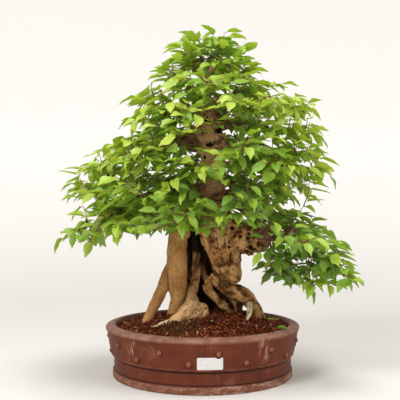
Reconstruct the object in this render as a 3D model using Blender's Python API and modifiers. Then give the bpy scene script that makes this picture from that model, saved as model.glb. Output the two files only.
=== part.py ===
"""Korean hornbeam bonsai with hollow, gnarled old wood, growing in a round drum pot.

The tree is one piece of wood from the roots to short branch stubs. Each leafy branch is
a piece of its own that starts on the flat end of its stub. The pot stands on its foot
ring at z = 0, centred on the origin, and its front faces -Y. Tables are in millimetres.
"""

import math
import random

import bmesh
import bpy
from mathutils import Matrix, Vector
from mathutils.bvhtree import BVHTree

MM = 0.001
GAP = 0.3 * MM  # between pieces that touch
SEED = 5

# The pot, a turned drum
RIM_RADIUS = 180.0
RIM_WIDTH = 17.5
POT_HEIGHT = 96.0
WALL_RADIUS = 177.0
GROOVE_RADIUS = 163.5
GROOVE_HEIGHT = 35.0
FLANGE_RADIUS = 167.0
FLANGE_HEIGHT = 12.0
FOOT_RING_WIDTH = 24.0
FOOT_RECESS = 6.0
FLOOR_HEIGHT = 18.0
WALL_THICKNESS = 16.0
POT_STEPS = 36
DRAIN_RADIUS = 17.0
STUD_PAIRS = 11
STUD_RADIUS = 4.8
STUD_STAND = 3.8
STUD_FIRST_ANGLE = 8.5
UPPER_STUD_HEIGHT = 70.0
LOWER_STUD_HEIGHT = 52.5

# The blank label on the front wall
LABEL_LEFT, LABEL_RIGHT = -9.8, 33.4
LABEL_BOTTOM, LABEL_TOP = 43.5, 64.6
LABEL_THICKNESS = 0.5

# The soil and the screen over the drain hole
SOIL_STEPS = 18
SOIL_EDGE_HEIGHT = 88.5
SOIL_FRONT_RISE = 4.5
SOIL_MOUND_HEIGHT = 25.0
SOIL_MOUND_RADIUS = 150.0
SOIL_CLEARANCE = 0.5
ROOT_ROOM = 0.9
SCREEN_SIDE = 58.0
SCREEN_THICKNESS = 1.2
SCREEN_HOLES = 3

# The old wood: each row is a tube of points (x, y, z, radius)
LIVE_COLUMN = [(-62, -6, 80, 8), (-59, -6, 104, 8.5), (-53, -5, 120, 11), (-46, -3, 138, 15),
               (-46, 0, 164, 18), (-48, 1, 205, 20), (-46, 3, 240, 19), (-42, 4, 266, 19),
               (-24, 4, 294, 23), (4, 3, 320, 26)]
UPPER_TRUNK = [(4, 3, 308, 26), (17, 2, 345, 26), (20, 0, 385, 23), (13, 0, 430, 19),
               (8, 0, 465, 16), (10, 0, 484, 14), (6, 2, 512, 10), (10, 0, 542, 8), (7, 0, 566, 6)]
DEAD_TRUNK = [(6, 3, 322, 25), (16, 0, 296, 33), (29, -2, 272, 36), (37, -4, 238, 32),
              (47, -6, 213, 25.5), (55, -8, 190, 19), (57, -8, 178, 15)]
DEAD_EDGE = [(8, -6, 290, 20), (12, -10, 262, 19), (20, -12, 235, 15), (30, -14, 208, 13),
             (42, -14, 185, 11)]
DEAD_BACK = [(22, 14, 250, 24), (30, 18, 215, 21), (33, 24, 180, 19), (35, 44, 142, 14),
             (37, 64, 108, 12), (39, 74, 80, 10)]
HOLLOW_BACK = [(-14, 22, 268, 18), (-16, 26, 220, 17), (-14, 28, 180, 17), (-12, 32, 140, 15),
               (-8, 37, 104, 12), (-8, 40, 80, 10)]
MIDDLE_BACK = [(10, 24, 240, 18), (6, 26, 196, 17), (6, 32, 156, 17), (12, 42, 118, 16),
               (16, 50, 80, 12)]
LEFT_PILLAR = [(-12, 4, 272, 9), (-13, 4, 232, 8), (-12, 3, 196, 9), (-14, -3, 172, 8),
               (-19, -14, 154, 9), (-21, -26, 136, 11)]
RED_PILLAR = [(2, 10, 262, 9), (4, 10, 226, 7), (5, 8, 192, 7.5), (9, 4, 166, 7)]
LEFT_ROOT = [(-58, 14, 208, 9), (-66, 10, 182, 11), (-81, -4, 144, 11.5), (-97, -20, 113, 9),
             (-108, -32, 82, 7)]
FRONT_ROOT = [(-18, -26, 144, 11), (-21, -40, 128, 15), (-36, -54, 113, 15), (-56, -65, 102, 10.5),
              (-76, -73, 98, 7), (-94, -80, 92, 4.5)]
FRONT_LOBE = [(0, -26, 131, 9), (-2, -36, 120, 14), (-9, -47, 105, 16), (-13, -52, 80, 14)]
OUTER_ROOT = [(20, 2, 184, 14), (36, -5, 168, 14), (52, -7, 156, 15), (77, 2, 144, 15.5),
              (94, 14, 124, 13.5), (105, 22, 106, 12), (112, 26, 80, 10)]
BAR_ROOT = [(8, -2, 166, 10), (14, -8, 152, 8.5), (34, 0, 130, 7.5), (54, 8, 110, 7.5), (66, 12, 90, 7)]
BROAD_ROOT = [(50, 6, 152, 13), (60, 14, 134, 13), (66, 22, 112, 12), (70, 26, 80, 11)]
PALE_ROOT = [(86, 4, 136, 7), (87, -26, 120, 5), (79, -44, 103, 4.5), (77, -50, 86, 4.5)]
SIDE_ROOT = [(90, 8, 130, 9), (100, 5, 112, 9), (106, 8, 80, 9)]
BACK_ROOT = [(-34, 16, 176, 12), (-32, 42, 134, 13), (-31, 62, 104, 11), (-30, 70, 78, 9)]
BURL_ARM = [(38, -2, 268, 26), (66, -4, 256, 29), (92, -6, 250, 26), (110, -6, 252, 20),
            (122, -8, 256, 13)]
SCAR_ARM = [(10, 0, 474, 13), (30, -2, 475, 11), (46, -3, 477, 10)]
TUBES = [LIVE_COLUMN, UPPER_TRUNK, DEAD_TRUNK, DEAD_EDGE, DEAD_BACK, HOLLOW_BACK, MIDDLE_BACK,
         LEFT_PILLAR, RED_PILLAR, LEFT_ROOT, FRONT_ROOT, FRONT_LOBE, OUTER_ROOT, BAR_ROOT, BROAD_ROOT,
         PALE_ROOT, SIDE_ROOT, BACK_ROOT, BURL_ARM, SCAR_ARM]
# Knobs and burls: each row is a ball (x, y, z, radius)
KNOBS = [(57, -12, 180, 14), (15, -9, 476, 13), (26, -15, 458, 10), (21, -16, 436, 9),
         (78, -19, 242, 14), (100, -18, 262, 12), (104, -12, 240, 12), (60, -26, 256, 11),
         (86, -20, 230, 9), (-34, -8, 262, 13), (26, -26, 264, 15), (48, -20, 230, 13)]
WOOD_VOXEL = 3.2
WOOD_GRAIN_DEPTH = 4.0
WOOD_GRAIN_SIZE = 24.0
WOOD_FACES = 1270

# Leafy branches: azimuth (0 right, 90 back, 180 left), height on the trunk, reach of the
# tip from the trunk's line, height of the tip, arch between them, number of side twigs
BRANCHES = [
    (190, 318, 282, 250, 30, 3), (170, 340, 280, 338, 12, 3), (185, 378, 262, 378, 14, 2),
    (168, 424, 196, 430, 8, 2), (188, 452, 150, 470, 6, 2), (172, 486, 138, 520, 4, 1),
    (184, 522, 84, 570, 2, 1),
    (8, 530, 100, 576, 2, 1), (-10, 506, 156, 541, 4, 2), (9, 486, 216, 502, 8, 1),
    (-7, 450, 220, 440, 12, 1), (11, 415, 224, 405, 12, 1), (-5, 384, 234, 370, 14, 3),
    (16, 348, 172, 330, 10, 1),
    (226, 352, 176, 316, 12, 2), (148, 322, 214, 300, 12, 2), (206, 408, 190, 404, 10, 2),
    (-38, 398, 182, 372, 12, 2), (34, 404, 206, 392, 12, 2), (-48, 470, 130, 484, 6, 2),
    (-66, 420, 142, 398, 10, 2), (-112, 440, 140, 430, 8, 2), (-90, 500, 96, 532, 4, 1),
    (58, 346, 196, 322, 12, 2), (118, 366, 190, 352, 12, 2), (88, 410, 172, 410, 10, 2),
    (46, 456, 146, 470, 6, 1), (134, 476, 136, 500, 6, 1), (92, 516, 96, 556, 3, 1),
]
# Branches from the burl arm and the leader: start point, tip point, arch, number of side twigs
BURL_BRANCHES = [((112, -2, 262), (254, 22, 268), 12, 3), ((116, -10, 252), (264, -92, 182), 34, 3),
                 ((94, -22, 254), (166, -98, 190), 26, 3)]
LEADER_BRANCHES = [((8, 0, 546), (-44, -12, 620), 4, 1), ((5, 5, 565), (-18, 22, 658), 2, 2),
                   ((10, -3, 560), (48, -14, 652), 3, 2), ((9, 0, 538), (88, 16, 614), 5, 1)]
# Branches that find their way between the others, first from the trunk and then from the burl
LOW_BRANCHES = [(-63, 322, 165, 285, 12, 2), (-107, 336, 172, 282, 12, 2), (134, 440, 200, 402, 8, 1),
                (39, 322, 213, 262, 14, 1)]
FRONT_BURL_BRANCHES = [((84, -24, 264), (180, -165, 250), 16, 1)]
STUB_LENGTH = 13.0
ARM_COVER = 4.0  # depth of an arm branch's root under the bark
LIMB_RADIUS, LIMB_TIP_RADIUS = 5.2, 1.6
LIMB_POINTS = 5
SHOOT_LENGTH = 60.0
END_SHOOT_LENGTH = 70.0
SHOOT_HALF_WIDTH = 1.1
NECK = 0.035  # a leaf's hold on its shoot, as a share of the shoot's length

# A leaf blade, as shares of its length: (along, half width, lift) down one side
LEAF_LENGTH = (33.0, 41.0)
LEAF_SIDE = [(0.28, 0.28, 0.08), (0.66, 0.21, 0.07)]
LEAF_DROOP = (8.0, 68.0)  # degrees below level
APEX_HEIGHT, APEX_LIFT = 500.0, 46.0  # above this height the leaves stand up, by so much at the top
LEAF_ROLL = 42.0
LEAF_CLEARANCE = 1.4
LEAF_TRIES = 14
LIMB_TRIES = 30
BLADE_THICKNESS = 0.8


def make_material(name, colour, roughness):
    material = bpy.data.materials.new(name)
    material.use_nodes = True
    shader = material.node_tree.nodes["Principled BSDF"]
    shader.inputs["Base Color"].default_value = (*colour, 1.0)
    shader.inputs["Roughness"].default_value = roughness
    shader.inputs["Metallic"].default_value = 0.0
    material.diffuse_color = (*colour, 1.0)
    return material


def add_object(name, mesh, collection, material=None):
    obj = bpy.data.objects.new(name, mesh)
    collection.objects.link(obj)
    if material:
        mesh.materials.clear()
        mesh.materials.append(material)
    return obj


def add_bmesh(name, bm, collection, material=None):
    mesh = bpy.data.meshes.new(name)
    bm.to_mesh(mesh)
    bm.free()
    return add_object(name, mesh, collection, material)


def freeze(obj):
    """Swaps the object's mesh for what its modifiers make of it."""
    graph = bpy.context.evaluated_depsgraph_get()
    mesh = bpy.data.meshes.new_from_object(obj.evaluated_get(graph))
    obj.modifiers.clear()
    obj.data = mesh


def remove(objects):
    for obj in list(objects):
        bpy.data.objects.remove(obj)


def boolean(obj, operation, cutter=None, cutters=None, solver="EXACT"):
    """One Boolean with an object or with every object of a collection, applied."""
    modifier = obj.modifiers.new(operation.title(), "BOOLEAN")
    modifier.operation = operation
    modifier.solver = solver
    if cutters is None:
        modifier.object = cutter
    else:
        modifier.operand_type = "COLLECTION"
        modifier.collection = cutters
    freeze(obj)


def turned(name, profile, steps, collection, material=None):
    """A profile of (radius, height), run down its outer side, turned about Z."""
    mesh = bpy.data.meshes.new(name)
    points = [(radius * MM, 0.0, height * MM) for radius, height in profile]
    mesh.from_pydata(points, [(i, i + 1) for i in range(len(points) - 1)], [])
    obj = add_object(name, mesh, collection, material)
    screw = obj.modifiers.new("Turn", "SCREW")
    screw.steps = screw.render_steps = steps
    screw.use_merge_vertices = True
    screw.merge_threshold = 0.00001
    freeze(obj)
    return obj


def tube(name, points, radii, resolution, collection, material=None):
    """A tapering round stem along points in metres, with flat ends, as a closed mesh."""
    curve = bpy.data.curves.new(name, "CURVE")
    curve.dimensions = "3D"
    curve.bevel_depth = MM
    curve.bevel_resolution = resolution
    curve.use_fill_caps = True
    spline = curve.splines.new("POLY")
    spline.points.add(len(points) - 1)
    for point, place, radius in zip(spline.points, points, radii):
        point.co = (*place, 1.0)
        point.radius = radius
    stem = bpy.data.objects.new(name, curve)
    collection.objects.link(stem)
    graph = bpy.context.evaluated_depsgraph_get()
    mesh = bpy.data.meshes.new_from_object(stem.evaluated_get(graph))
    bpy.data.objects.remove(stem)
    bm = bmesh.new()
    bm.from_mesh(mesh)
    bmesh.ops.remove_doubles(bm, verts=bm.verts, dist=0.00001)
    bmesh.ops.recalc_face_normals(bm, faces=bm.faces)
    bm.to_mesh(mesh)
    bm.free()
    return add_object(name, mesh, collection, material)


def ball(name, centre, radius, segments, rings, collection):
    bm = bmesh.new()
    bmesh.ops.create_uvsphere(bm, u_segments=segments, v_segments=rings, radius=radius * MM)
    bmesh.ops.translate(bm, verts=bm.verts, vec=Vector(centre) * MM)
    return add_bmesh(name, bm, collection)


# The pot


def wall_profile():
    """The pot's outer side from the rim's crest down to the ring that it stands on."""
    edge = POT_HEIGHT - 4.0
    return [
        (RIM_RADIUS - RIM_WIDTH, POT_HEIGHT - 0.5), (RIM_RADIUS - RIM_WIDTH + 2.5, POT_HEIGHT),
        (RIM_RADIUS - 3.0, edge + 1.5), (RIM_RADIUS, edge - 1.5), (RIM_RADIUS - 0.5, edge - 5.0),
        (WALL_RADIUS, edge - 8.0), (WALL_RADIUS - 2.5, 66.0), (WALL_RADIUS - 7.5, 42.5),
        (GROOVE_RADIUS + 1.0, GROOVE_HEIGHT + 2.0), (GROOVE_RADIUS, GROOVE_HEIGHT),
        (GROOVE_RADIUS + 1.0, GROOVE_HEIGHT - 4.0), (GROOVE_RADIUS + 1.0, FLANGE_HEIGHT + 3.0),
        (FLANGE_RADIUS, FLANGE_HEIGHT), (FLANGE_RADIUS, 2.5), (FLANGE_RADIUS - 2.5, 0.0),
    ]


def inner_profile():
    """The pot's inner side from the floor's edge up to the rim's crest."""
    return [
        (GROOVE_RADIUS - WALL_THICKNESS - 2.0, FLOOR_HEIGHT), (GROOVE_RADIUS - 11.0, FLOOR_HEIGHT + 9.0),
        (RIM_RADIUS - 23.0, 50.0), (RIM_RADIUS - 20.0, 84.0), (RIM_RADIUS - 18.5, POT_HEIGHT - 3.0),
    ]


def radius_at(profile, height):
    """The radius of a profile at a height, along the straight run that holds it."""
    for (r1, z1), (r2, z2) in zip(profile, profile[1:]):
        if min(z1, z2) <= height <= max(z1, z2) and z1 != z2:
            return r1 + (r2 - r1) * (height - z1) / (z2 - z1)
    return profile[-1][0]


def make_studs(collection):
    """Nail-head studs in a zigzag: one upper row and one lower row, half a step apart."""
    step = math.pi / STUD_PAIRS
    wall = wall_profile()[5:9]
    for index in range(2 * STUD_PAIRS):
        height = LOWER_STUD_HEIGHT if index % 2 else UPPER_STUD_HEIGHT
        angle = math.radians(STUD_FIRST_ANGLE) + index * step
        out = Vector((math.sin(angle), -math.cos(angle), 0.0))
        stud = ball(f"stud_{index}", (0, 0, 0), STUD_RADIUS, 6, 3, collection)
        squash = Matrix.Scale(STUD_STAND / STUD_RADIUS, 4, (0, 0, 1))
        turn = out.to_track_quat("Z", "Y").to_matrix().to_4x4()
        centre = out * radius_at(wall, height) * MM + Vector((0, 0, height * MM))
        stud.data.transform(Matrix.Translation(centre) @ turn @ squash)


def make_pot(parts, cutters, material):
    foot_inner = FLANGE_RADIUS - 2.5 - FOOT_RING_WIDTH
    profile = [(0.0, FLOOR_HEIGHT), *inner_profile(), *wall_profile(),
               (foot_inner, 0.0), (foot_inner - 3.0, FOOT_RECESS), (0.0, FOOT_RECESS)]
    pot = turned("pot", profile, POT_STEPS, parts, material)
    make_studs(cutters)
    boolean(pot, "UNION", cutters=cutters)
    remove(cutters.objects)
    bm = bmesh.new()
    bmesh.ops.create_cone(bm, cap_ends=True, segments=20, radius1=DRAIN_RADIUS * MM,
                          radius2=DRAIN_RADIUS * MM, depth=3 * FLOOR_HEIGHT * MM)
    drain = add_bmesh("drain_cutter", bm, cutters)
    boolean(pot, "DIFFERENCE", cutter=drain)
    remove(cutters.objects)
    pot.data.set_sharp_from_angle(angle=math.radians(40))
    return pot


def make_label(parts, material):
    """A thin sheet bent round the front wall, just clear of it."""
    columns = 6
    wall = wall_profile()[5:9]
    bm = bmesh.new()
    rows = []
    for height in (LABEL_BOTTOM, LABEL_TOP):
        row = []
        radius = radius_at(wall, height) + GAP / MM + 0.1
        for column in range(columns + 1):
            x = LABEL_LEFT + (LABEL_RIGHT - LABEL_LEFT) * column / columns
            y = -math.sqrt(radius**2 - x**2)
            row.append(bm.verts.new((x * MM, y * MM, height * MM)))
        rows.append(row)
    for column in range(columns):
        corners = [rows[0][column], rows[0][column + 1], rows[1][column + 1], rows[1][column]]
        bm.faces.new(corners)
    label = add_bmesh("label", bm, parts, material)
    solidify = label.modifiers.new("Thickness", "SOLIDIFY")
    solidify.thickness = LABEL_THICKNESS * MM
    solidify.offset = 1.0
    return label


def make_screen(parts, cutters, material):
    """A square plastic screen over the drain hole, with square openings."""
    bm = bmesh.new()
    bmesh.ops.create_cube(bm, size=1.0)
    bmesh.ops.scale(bm, vec=(SCREEN_SIDE * MM, SCREEN_SIDE * MM, SCREEN_THICKNESS * MM), verts=bm.verts)
    screen = add_bmesh("drain_screen", bm, parts, material)
    pitch = SCREEN_SIDE / (SCREEN_HOLES + 0.5)
    for row in range(SCREEN_HOLES):
        for column in range(SCREEN_HOLES):
            bm = bmesh.new()
            bmesh.ops.create_cube(bm, size=0.72 * pitch * MM)
            middle = (SCREEN_HOLES - 1) / 2
            shift = Vector((column - middle, row - middle, 0.0)) * pitch * MM
            bmesh.ops.translate(bm, verts=bm.verts, vec=shift)
            add_bmesh(f"screen_hole_{row}_{column}", bm, cutters)
    boolean(screen, "DIFFERENCE", cutters=cutters)
    remove(cutters.objects)
    screen.location.z = (FLOOR_HEIGHT + SCREEN_THICKNESS / 2) * MM + GAP
    return screen


# The soil


def soil_height(x, y):
    """Millimetres above the ground: a mound round the roots, higher at the front edge."""
    away = math.hypot(x, y)
    mound = max(0.0, 1.0 - (away / SOIL_MOUND_RADIUS) ** 2) ** 1.2
    front = 0.5 - 0.5 * y / max(away, 1.0)
    rough = 0.8 * math.sin(0.11 * x + 1.3) * math.cos(0.09 * y) + 0.5 * math.sin(0.23 * (x + y))
    edge = SOIL_EDGE_HEIGHT + SOIL_FRONT_RISE * front * min(1.0, away / 90.0)
    return edge + SOIL_MOUND_HEIGHT * mound + rough


def make_soil(parts, cutters, wood, material):
    """A mound that fills the pot, with a plain hole for each root and a seat for the screen."""
    side = [(radius - SOIL_CLEARANCE, height) for radius, height in inner_profile()[:4]]
    lift = FLOOR_HEIGHT + GAP / MM
    side[0] = (side[0][0], lift)
    edge = (radius_at(inner_profile(), SOIL_EDGE_HEIGHT) - SOIL_CLEARANCE, SOIL_EDGE_HEIGHT)
    top = [(share * edge[0], SOIL_EDGE_HEIGHT + 1.0) for share in (0.0, 0.2, 0.42, 0.62, 0.78, 0.9)]
    soil = turned("soil", [*top, edge, *reversed(side), (0.0, lift)], SOIL_STEPS, parts, material)
    for vertex in soil.data.vertices:
        if vertex.co.z > (SOIL_EDGE_HEIGHT - 0.5) * MM:
            vertex.co.z = soil_height(vertex.co.x / MM, vertex.co.y / MM) * MM
    bm = bmesh.new()
    bmesh.ops.create_cube(bm, size=1.0)
    seat = SCREEN_SIDE * MM + 2 * GAP
    bmesh.ops.scale(bm, vec=(seat, seat, 2 * (SCREEN_THICKNESS * MM + GAP)), verts=bm.verts)
    bmesh.ops.translate(bm, verts=bm.verts, vec=(0, 0, lift * MM))
    add_bmesh("screen_seat", bm, cutters)
    boolean(soil, "DIFFERENCE", cutters=cutters)
    remove(cutters.objects)
    root_room = add_object("root_room", wood.data.copy(), cutters)
    swell = root_room.modifiers.new("Room", "DISPLACE")
    swell.strength = ROOT_ROOM * MM
    swell.mid_level = 0.0
    freeze(root_room)
    boolean(soil, "DIFFERENCE", cutter=root_room, solver="MANIFOLD")
    remove(cutters.objects)
    return soil


# The old wood


def make_wood_body(parts, cutters, material):
    """Roots, columns, burls and trunk as tubes and balls, grown into one rough surface."""
    for index, rows in enumerate(TUBES):
        points = [Vector(row[:3]) * MM for row in rows]
        tube(f"tube_{index}", points, [row[3] for row in rows], 4, cutters)
    for index, (x, y, z, radius) in enumerate(KNOBS):
        ball(f"knob_{index}", (x, y, z), radius, 14, 8, cutters)
    bm = bmesh.new()
    for obj in cutters.objects:
        bm.from_mesh(obj.data)
    remove(cutters.objects)
    wood = add_bmesh("trunk", bm, parts, material)
    skin = wood.modifiers.new("Skin", "REMESH")
    skin.mode = "VOXEL"
    skin.voxel_size = WOOD_VOXEL * MM
    soften = wood.modifiers.new("Soften", "SMOOTH")
    soften.iterations = 3
    clouds = bpy.data.textures.new("grain", "CLOUDS")
    clouds.noise_scale = WOOD_GRAIN_SIZE * MM
    clouds.noise_depth = 1
    grain = wood.modifiers.new("Grain", "DISPLACE")
    grain.texture = clouds
    grain.texture_coords = "LOCAL"
    grain.strength = WOOD_GRAIN_DEPTH * MM
    grain.mid_level = 0.5
    freeze(wood)
    thin = wood.modifiers.new("Thin", "DECIMATE")
    thin.ratio = WOOD_FACES / (2.0 * len(wood.data.polygons))
    freeze(wood)
    return wood


def trunk_at(height):
    """The trunk's centre and radius at a height, in millimetres."""
    rows = UPPER_TRUNK
    for low, high in zip(rows, rows[1:]):
        if low[2] <= height <= high[2]:
            share = (height - low[2]) / (high[2] - low[2])
            mixed = [a + (b - a) * share for a, b in zip(low, high)]
            return Vector(mixed[:3]), mixed[3]
    return Vector(rows[0][:3]), rows[0][3]


# The leafy branches: first a plan in millimetres, then the meshes


def spoke(azimuth):
    angle = math.radians(azimuth)
    return Vector((math.cos(angle), math.sin(angle), 0.0))


def trunk_branch(row):
    """A branch's root on the trunk, first direction, cover, tip, arch and number of side twigs."""
    azimuth, height, reach, tip_height, arch, twigs = row
    centre, radius = trunk_at(height)
    out = (spoke(azimuth) + Vector((0, 0, 0.25))).normalized()
    tip = Vector((centre.x, centre.y, 0.0)) + spoke(azimuth) * reach
    tip.z = tip_height
    return centre + out * radius * 0.4, out, radius * 0.6, tip, arch, twigs


def arm_branch(row):
    """The same for a branch that is given by its start and its tip."""
    start, tip, arch, twigs = row
    start, tip = Vector(start), Vector(tip)
    out = (tip - start).normalized()
    if abs(out.z) < 0.95:
        out = Vector((out.x, out.y, max(out.z, 0.0) * 0.5)).normalized()
    return start, out, ARM_COVER, tip, arch, twigs


def branch_ends():
    first = [trunk_branch(row) for row in BRANCHES]
    arms = [arm_branch(row) for row in BURL_BRANCHES + LEADER_BRANCHES]
    low = [trunk_branch(row) for row in LOW_BRANCHES]
    return first + arms + low + [arm_branch(row) for row in FRONT_BURL_BRANCHES]


def limb_start(root, out, cover):
    return root + out * (cover + STUB_LENGTH + GAP / MM)


def limb_line(start, out, tip, arch, draws):
    """Points of a limb: straight out of its stub, then arched and slightly crooked."""
    points = [start, start + out * 9.0]
    run = tip - points[1]
    across = run.cross(Vector((0, 0, 1))).normalized()
    sway = draws.uniform(-9.0, 9.0)
    turn = draws.uniform(0.0, math.pi)
    for index in range(1, LIMB_POINTS - 1):
        share = index / (LIMB_POINTS - 2)
        place = points[1] + run * share
        place += Vector((0, 0, arch * math.sin(math.pi * share)))
        place += across * sway * math.sin(math.pi * share) * math.sin(2.0 * math.pi * share + turn)
        points.append(place)
    return points


def along(points, share):
    """The place and direction at a share of a line's length."""
    lengths = [(b - a).length for a, b in zip(points, points[1:])]
    left = share * sum(lengths)
    for a, b, length in zip(points, points[1:], lengths):
        if left <= length or b is points[-1]:
            return a + (b - a) * min(1.0, left / length), (b - a).normalized()
        left -= length
    return points[-1], (points[-1] - points[-2]).normalized()


def prism(points, radii):
    """A three-sided tube for testing clearance: vertices and triangles."""
    vertices, triangles = [], []
    for index, (place, radius) in enumerate(zip(points, radii)):
        heading = points[min(index + 1, len(points) - 1)] - points[max(index - 1, 0)]
        side = heading.orthogonal().normalized()
        for corner in range(3):
            turn = Matrix.Rotation(corner * 2.0 * math.pi / 3.0, 3, heading)
            vertices.append(place + turn @ side * radius * 1.5)
    for index in range(len(points) - 1):
        for corner in range(3):
            a, b = 3 * index + corner, 3 * index + (corner + 1) % 3
            triangles += [(a, b, b + 3), (a, b + 3, a + 3)]
    return vertices, triangles


def leaf_points(frame, length):
    """The blade's rim without its base, right side first. It folds along base to tip."""
    right = [Vector((share, -half, lift)) for share, half, lift in LEAF_SIDE]
    left = [Vector((share, half, lift)) for share, half, lift in reversed(LEAF_SIDE)]
    shape = [*right, Vector((1, 0, 0)), *left]
    return [frame @ (point * length) for point in shape]


def leaf_frame(place, heading, droop, roll):
    """A frame with X along the leaf, turned down by droop, and Z up off its upper face."""
    flat = Vector((heading.x, heading.y, 0.0)).normalized()
    ahead = flat * math.cos(droop) - Vector((0, 0, math.sin(droop)))
    left = Vector((0, 0, 1)).cross(flat)
    up = ahead.cross(left)
    turn = Matrix.Rotation(roll, 3, ahead)
    axes = Matrix((ahead, turn @ left, turn @ up)).transposed()
    return Matrix.Translation(place) @ axes.to_4x4()


class Space:
    """What is already placed, to keep each new twig and leaf clear of other pieces."""

    def __init__(self):
        self.taken = []

    def entry(self, stem, vertices, triangles):
        middle = sum(vertices, Vector()) / len(vertices)
        size = max((vertex - middle).length for vertex in vertices)
        return stem, BVHTree.FromPolygons(vertices, triangles), middle, size

    def add(self, stem, vertices, triangles):
        self.taken.append(self.entry(stem, vertices, triangles))

    def free(self, stem, vertices, triangles):
        """Whether a shape meets nothing but the stem that it grows from."""
        _, tree, middle, size = self.entry(stem, vertices, triangles)
        for other, other_tree, other_middle, other_size in self.taken:
            near = (middle - other_middle).length < size + other_size
            if near and other != stem and tree.overlap(other_tree):
                return False
        return all(clear_of_wood(vertex) for vertex in [*vertices, middle])


def clear_of_wood(place):
    """Whether a point is outside every tube of old wood, with room to spare."""
    for rows in TUBES:
        for low, high in zip(rows, rows[1:]):
            a, b = Vector(low[:3]), Vector(high[:3])
            share = max(0.0, min(1.0, (place - a).dot(b - a) / (b - a).length_squared))
            radius = low[3] + (high[3] - low[3]) * share
            if (place - a - (b - a) * share).length < radius + 3.5:
                return False
    return True


def try_leaf(space, stem, place, heading, draws):
    """A leaf that is clear of everything, or None after some tries with other angles."""
    length = draws.uniform(*LEAF_LENGTH)
    apex = APEX_LIFT * max(0.0, min(1.0, (place.z - APEX_HEIGHT) / 120.0))
    for _ in range(LEAF_TRIES):
        droop = math.radians(draws.uniform(*LEAF_DROOP) - apex)
        roll = math.radians(draws.uniform(-LEAF_ROLL, LEAF_ROLL))
        yaw = Matrix.Rotation(math.radians(draws.uniform(-20, 20)), 3, "Z")
        frame = leaf_frame(place, yaw @ heading, droop, roll)
        points = [place, *leaf_points(frame, length)]
        up = frame.to_3x3() @ Vector((0, 0, LEAF_CLEARANCE))
        count = len(points)
        half = [(0, index, index + 1) for index in range(1, count - 1)]
        hull = [point + up for point in points] + [point - up for point in points]
        triangles = half + [tuple(corner + count for corner in face) for face in half]
        triangles += [(index, (index + 1) % count, index + count) for index in range(count)]
        if space.free(stem, hull, triangles):
            space.add("leaf", hull, triangles)
            return frame, length
    return None


def plan_branch(space, owner, ends, draws):
    """The limb's points and radii, and its shoots: each a base, a middle and an end."""
    root, out, cover, tip, arch, shoot_count = ends
    start = limb_start(root, out, cover)
    inward = (start - tip).normalized()
    scale = min(1.0, 0.45 + (tip - start).length / 320.0)
    limb_end = tip + inward * (END_SHOOT_LENGTH * scale + 0.6 * LEAF_LENGTH[0])
    for attempt in range(LIMB_TRIES):
        bow = arch + draws.uniform(-2.5, 2.5) * attempt
        limb = limb_line(start, out, limb_end, bow, draws)
        radii = [max(LIMB_TIP_RADIUS, scale * (LIMB_RADIUS + (LIMB_TIP_RADIUS - LIMB_RADIUS)
                                               * index / (len(limb) - 1))) for index in range(len(limb))]
        last = limb_end - (limb[-1] - limb[-2]).normalized() * 1.5
        reach = (tip - last).normalized() * END_SHOOT_LENGTH * scale
        lift = Vector((0, 0, 0.06 * reach.length))
        shoots = [(last, last + reach * 0.5 + lift, last + reach)]
        limb_test = prism(limb[2:], radii[2:])
        shoot_test = prism([limb_end, *shoots[0][1:]], [SHOOT_HALF_WIDTH] * 3)
        if space.free(None, *limb_test) and space.free(None, *shoot_test):
            break
    space.add((owner, 0), *prism(limb, radii))
    space.add((owner, 1), *shoot_test)
    side = draws.choice((-1, 1))
    for index in range(shoot_count):
        side = -side
        share = 0.34 + 0.58 * index / max(1, shoot_count - 1) if shoot_count > 1 else 0.7
        base, heading = along(limb, share)
        for _ in range(LEAF_TRIES):
            swing = Matrix.Rotation(side * math.radians(draws.uniform(36, 68)), 3, "Z")
            aim = (swing @ heading + Vector((0, 0, draws.uniform(-0.2, 0.35)))).normalized()
            length = SHOOT_LENGTH * scale * draws.uniform(0.85, 1.15)
            bend = Vector((0, 0, -0.1 * length))
            shoot = (base, base + aim * length * 0.55, base + aim * length + bend)
            test = prism([base + aim * 4.0, *shoot[1:]], [SHOOT_HALF_WIDTH] * 3)
            if space.free((owner, 0), *test):
                space.add((owner, len(shoots) + 1), *test)
                shoots.append(shoot)
                break
    return limb, radii, shoots


def plan_leaves(space, owner, shoots, draws):
    """For each shoot a list of (share of its length, side, leaf frame, leaf length)."""
    planned = []
    for number, line in enumerate(shoots):
        shares = (0.36, 0.68) if number == 0 else (0.46, 0.73)
        side = 1 if (number + owner) % 2 else -1
        leaves = []
        for share in shares:
            side = -side
            place, heading = along(line, share + NECK / 2)
            swing = Matrix.Rotation(side * math.radians(58), 3, "Z")
            found = try_leaf(space, (owner, number + 1), place, swing @ heading, draws)
            if found:
                leaves.append((share, side, *found))
        place, heading = along(line, 1.0)
        found = try_leaf(space, (owner, number + 1), place, heading, draws)
        if found:
            leaves.append((1.0, 0, *found))
        planned.append(leaves)
    return planned


def plan_crown():
    """Every branch's limb and shoots first, then every branch's leaves, each with its own seed."""
    space = Space()
    ends = branch_ends()
    for root, out, cover, *_ in ends:
        space.add("stub", *prism([root, limb_start(root, out, cover)], [1.5 * LIMB_RADIUS, LIMB_RADIUS]))
    draws = [random.Random(SEED * 1000 + index) for index in range(len(ends))]
    limbs = [plan_branch(space, index, ends[index], draws[index]) for index in range(len(ends))]
    leaves = [plan_leaves(space, index, limbs[index][2], draws[index]) for index in range(len(ends))]
    return ends, limbs, leaves


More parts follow.
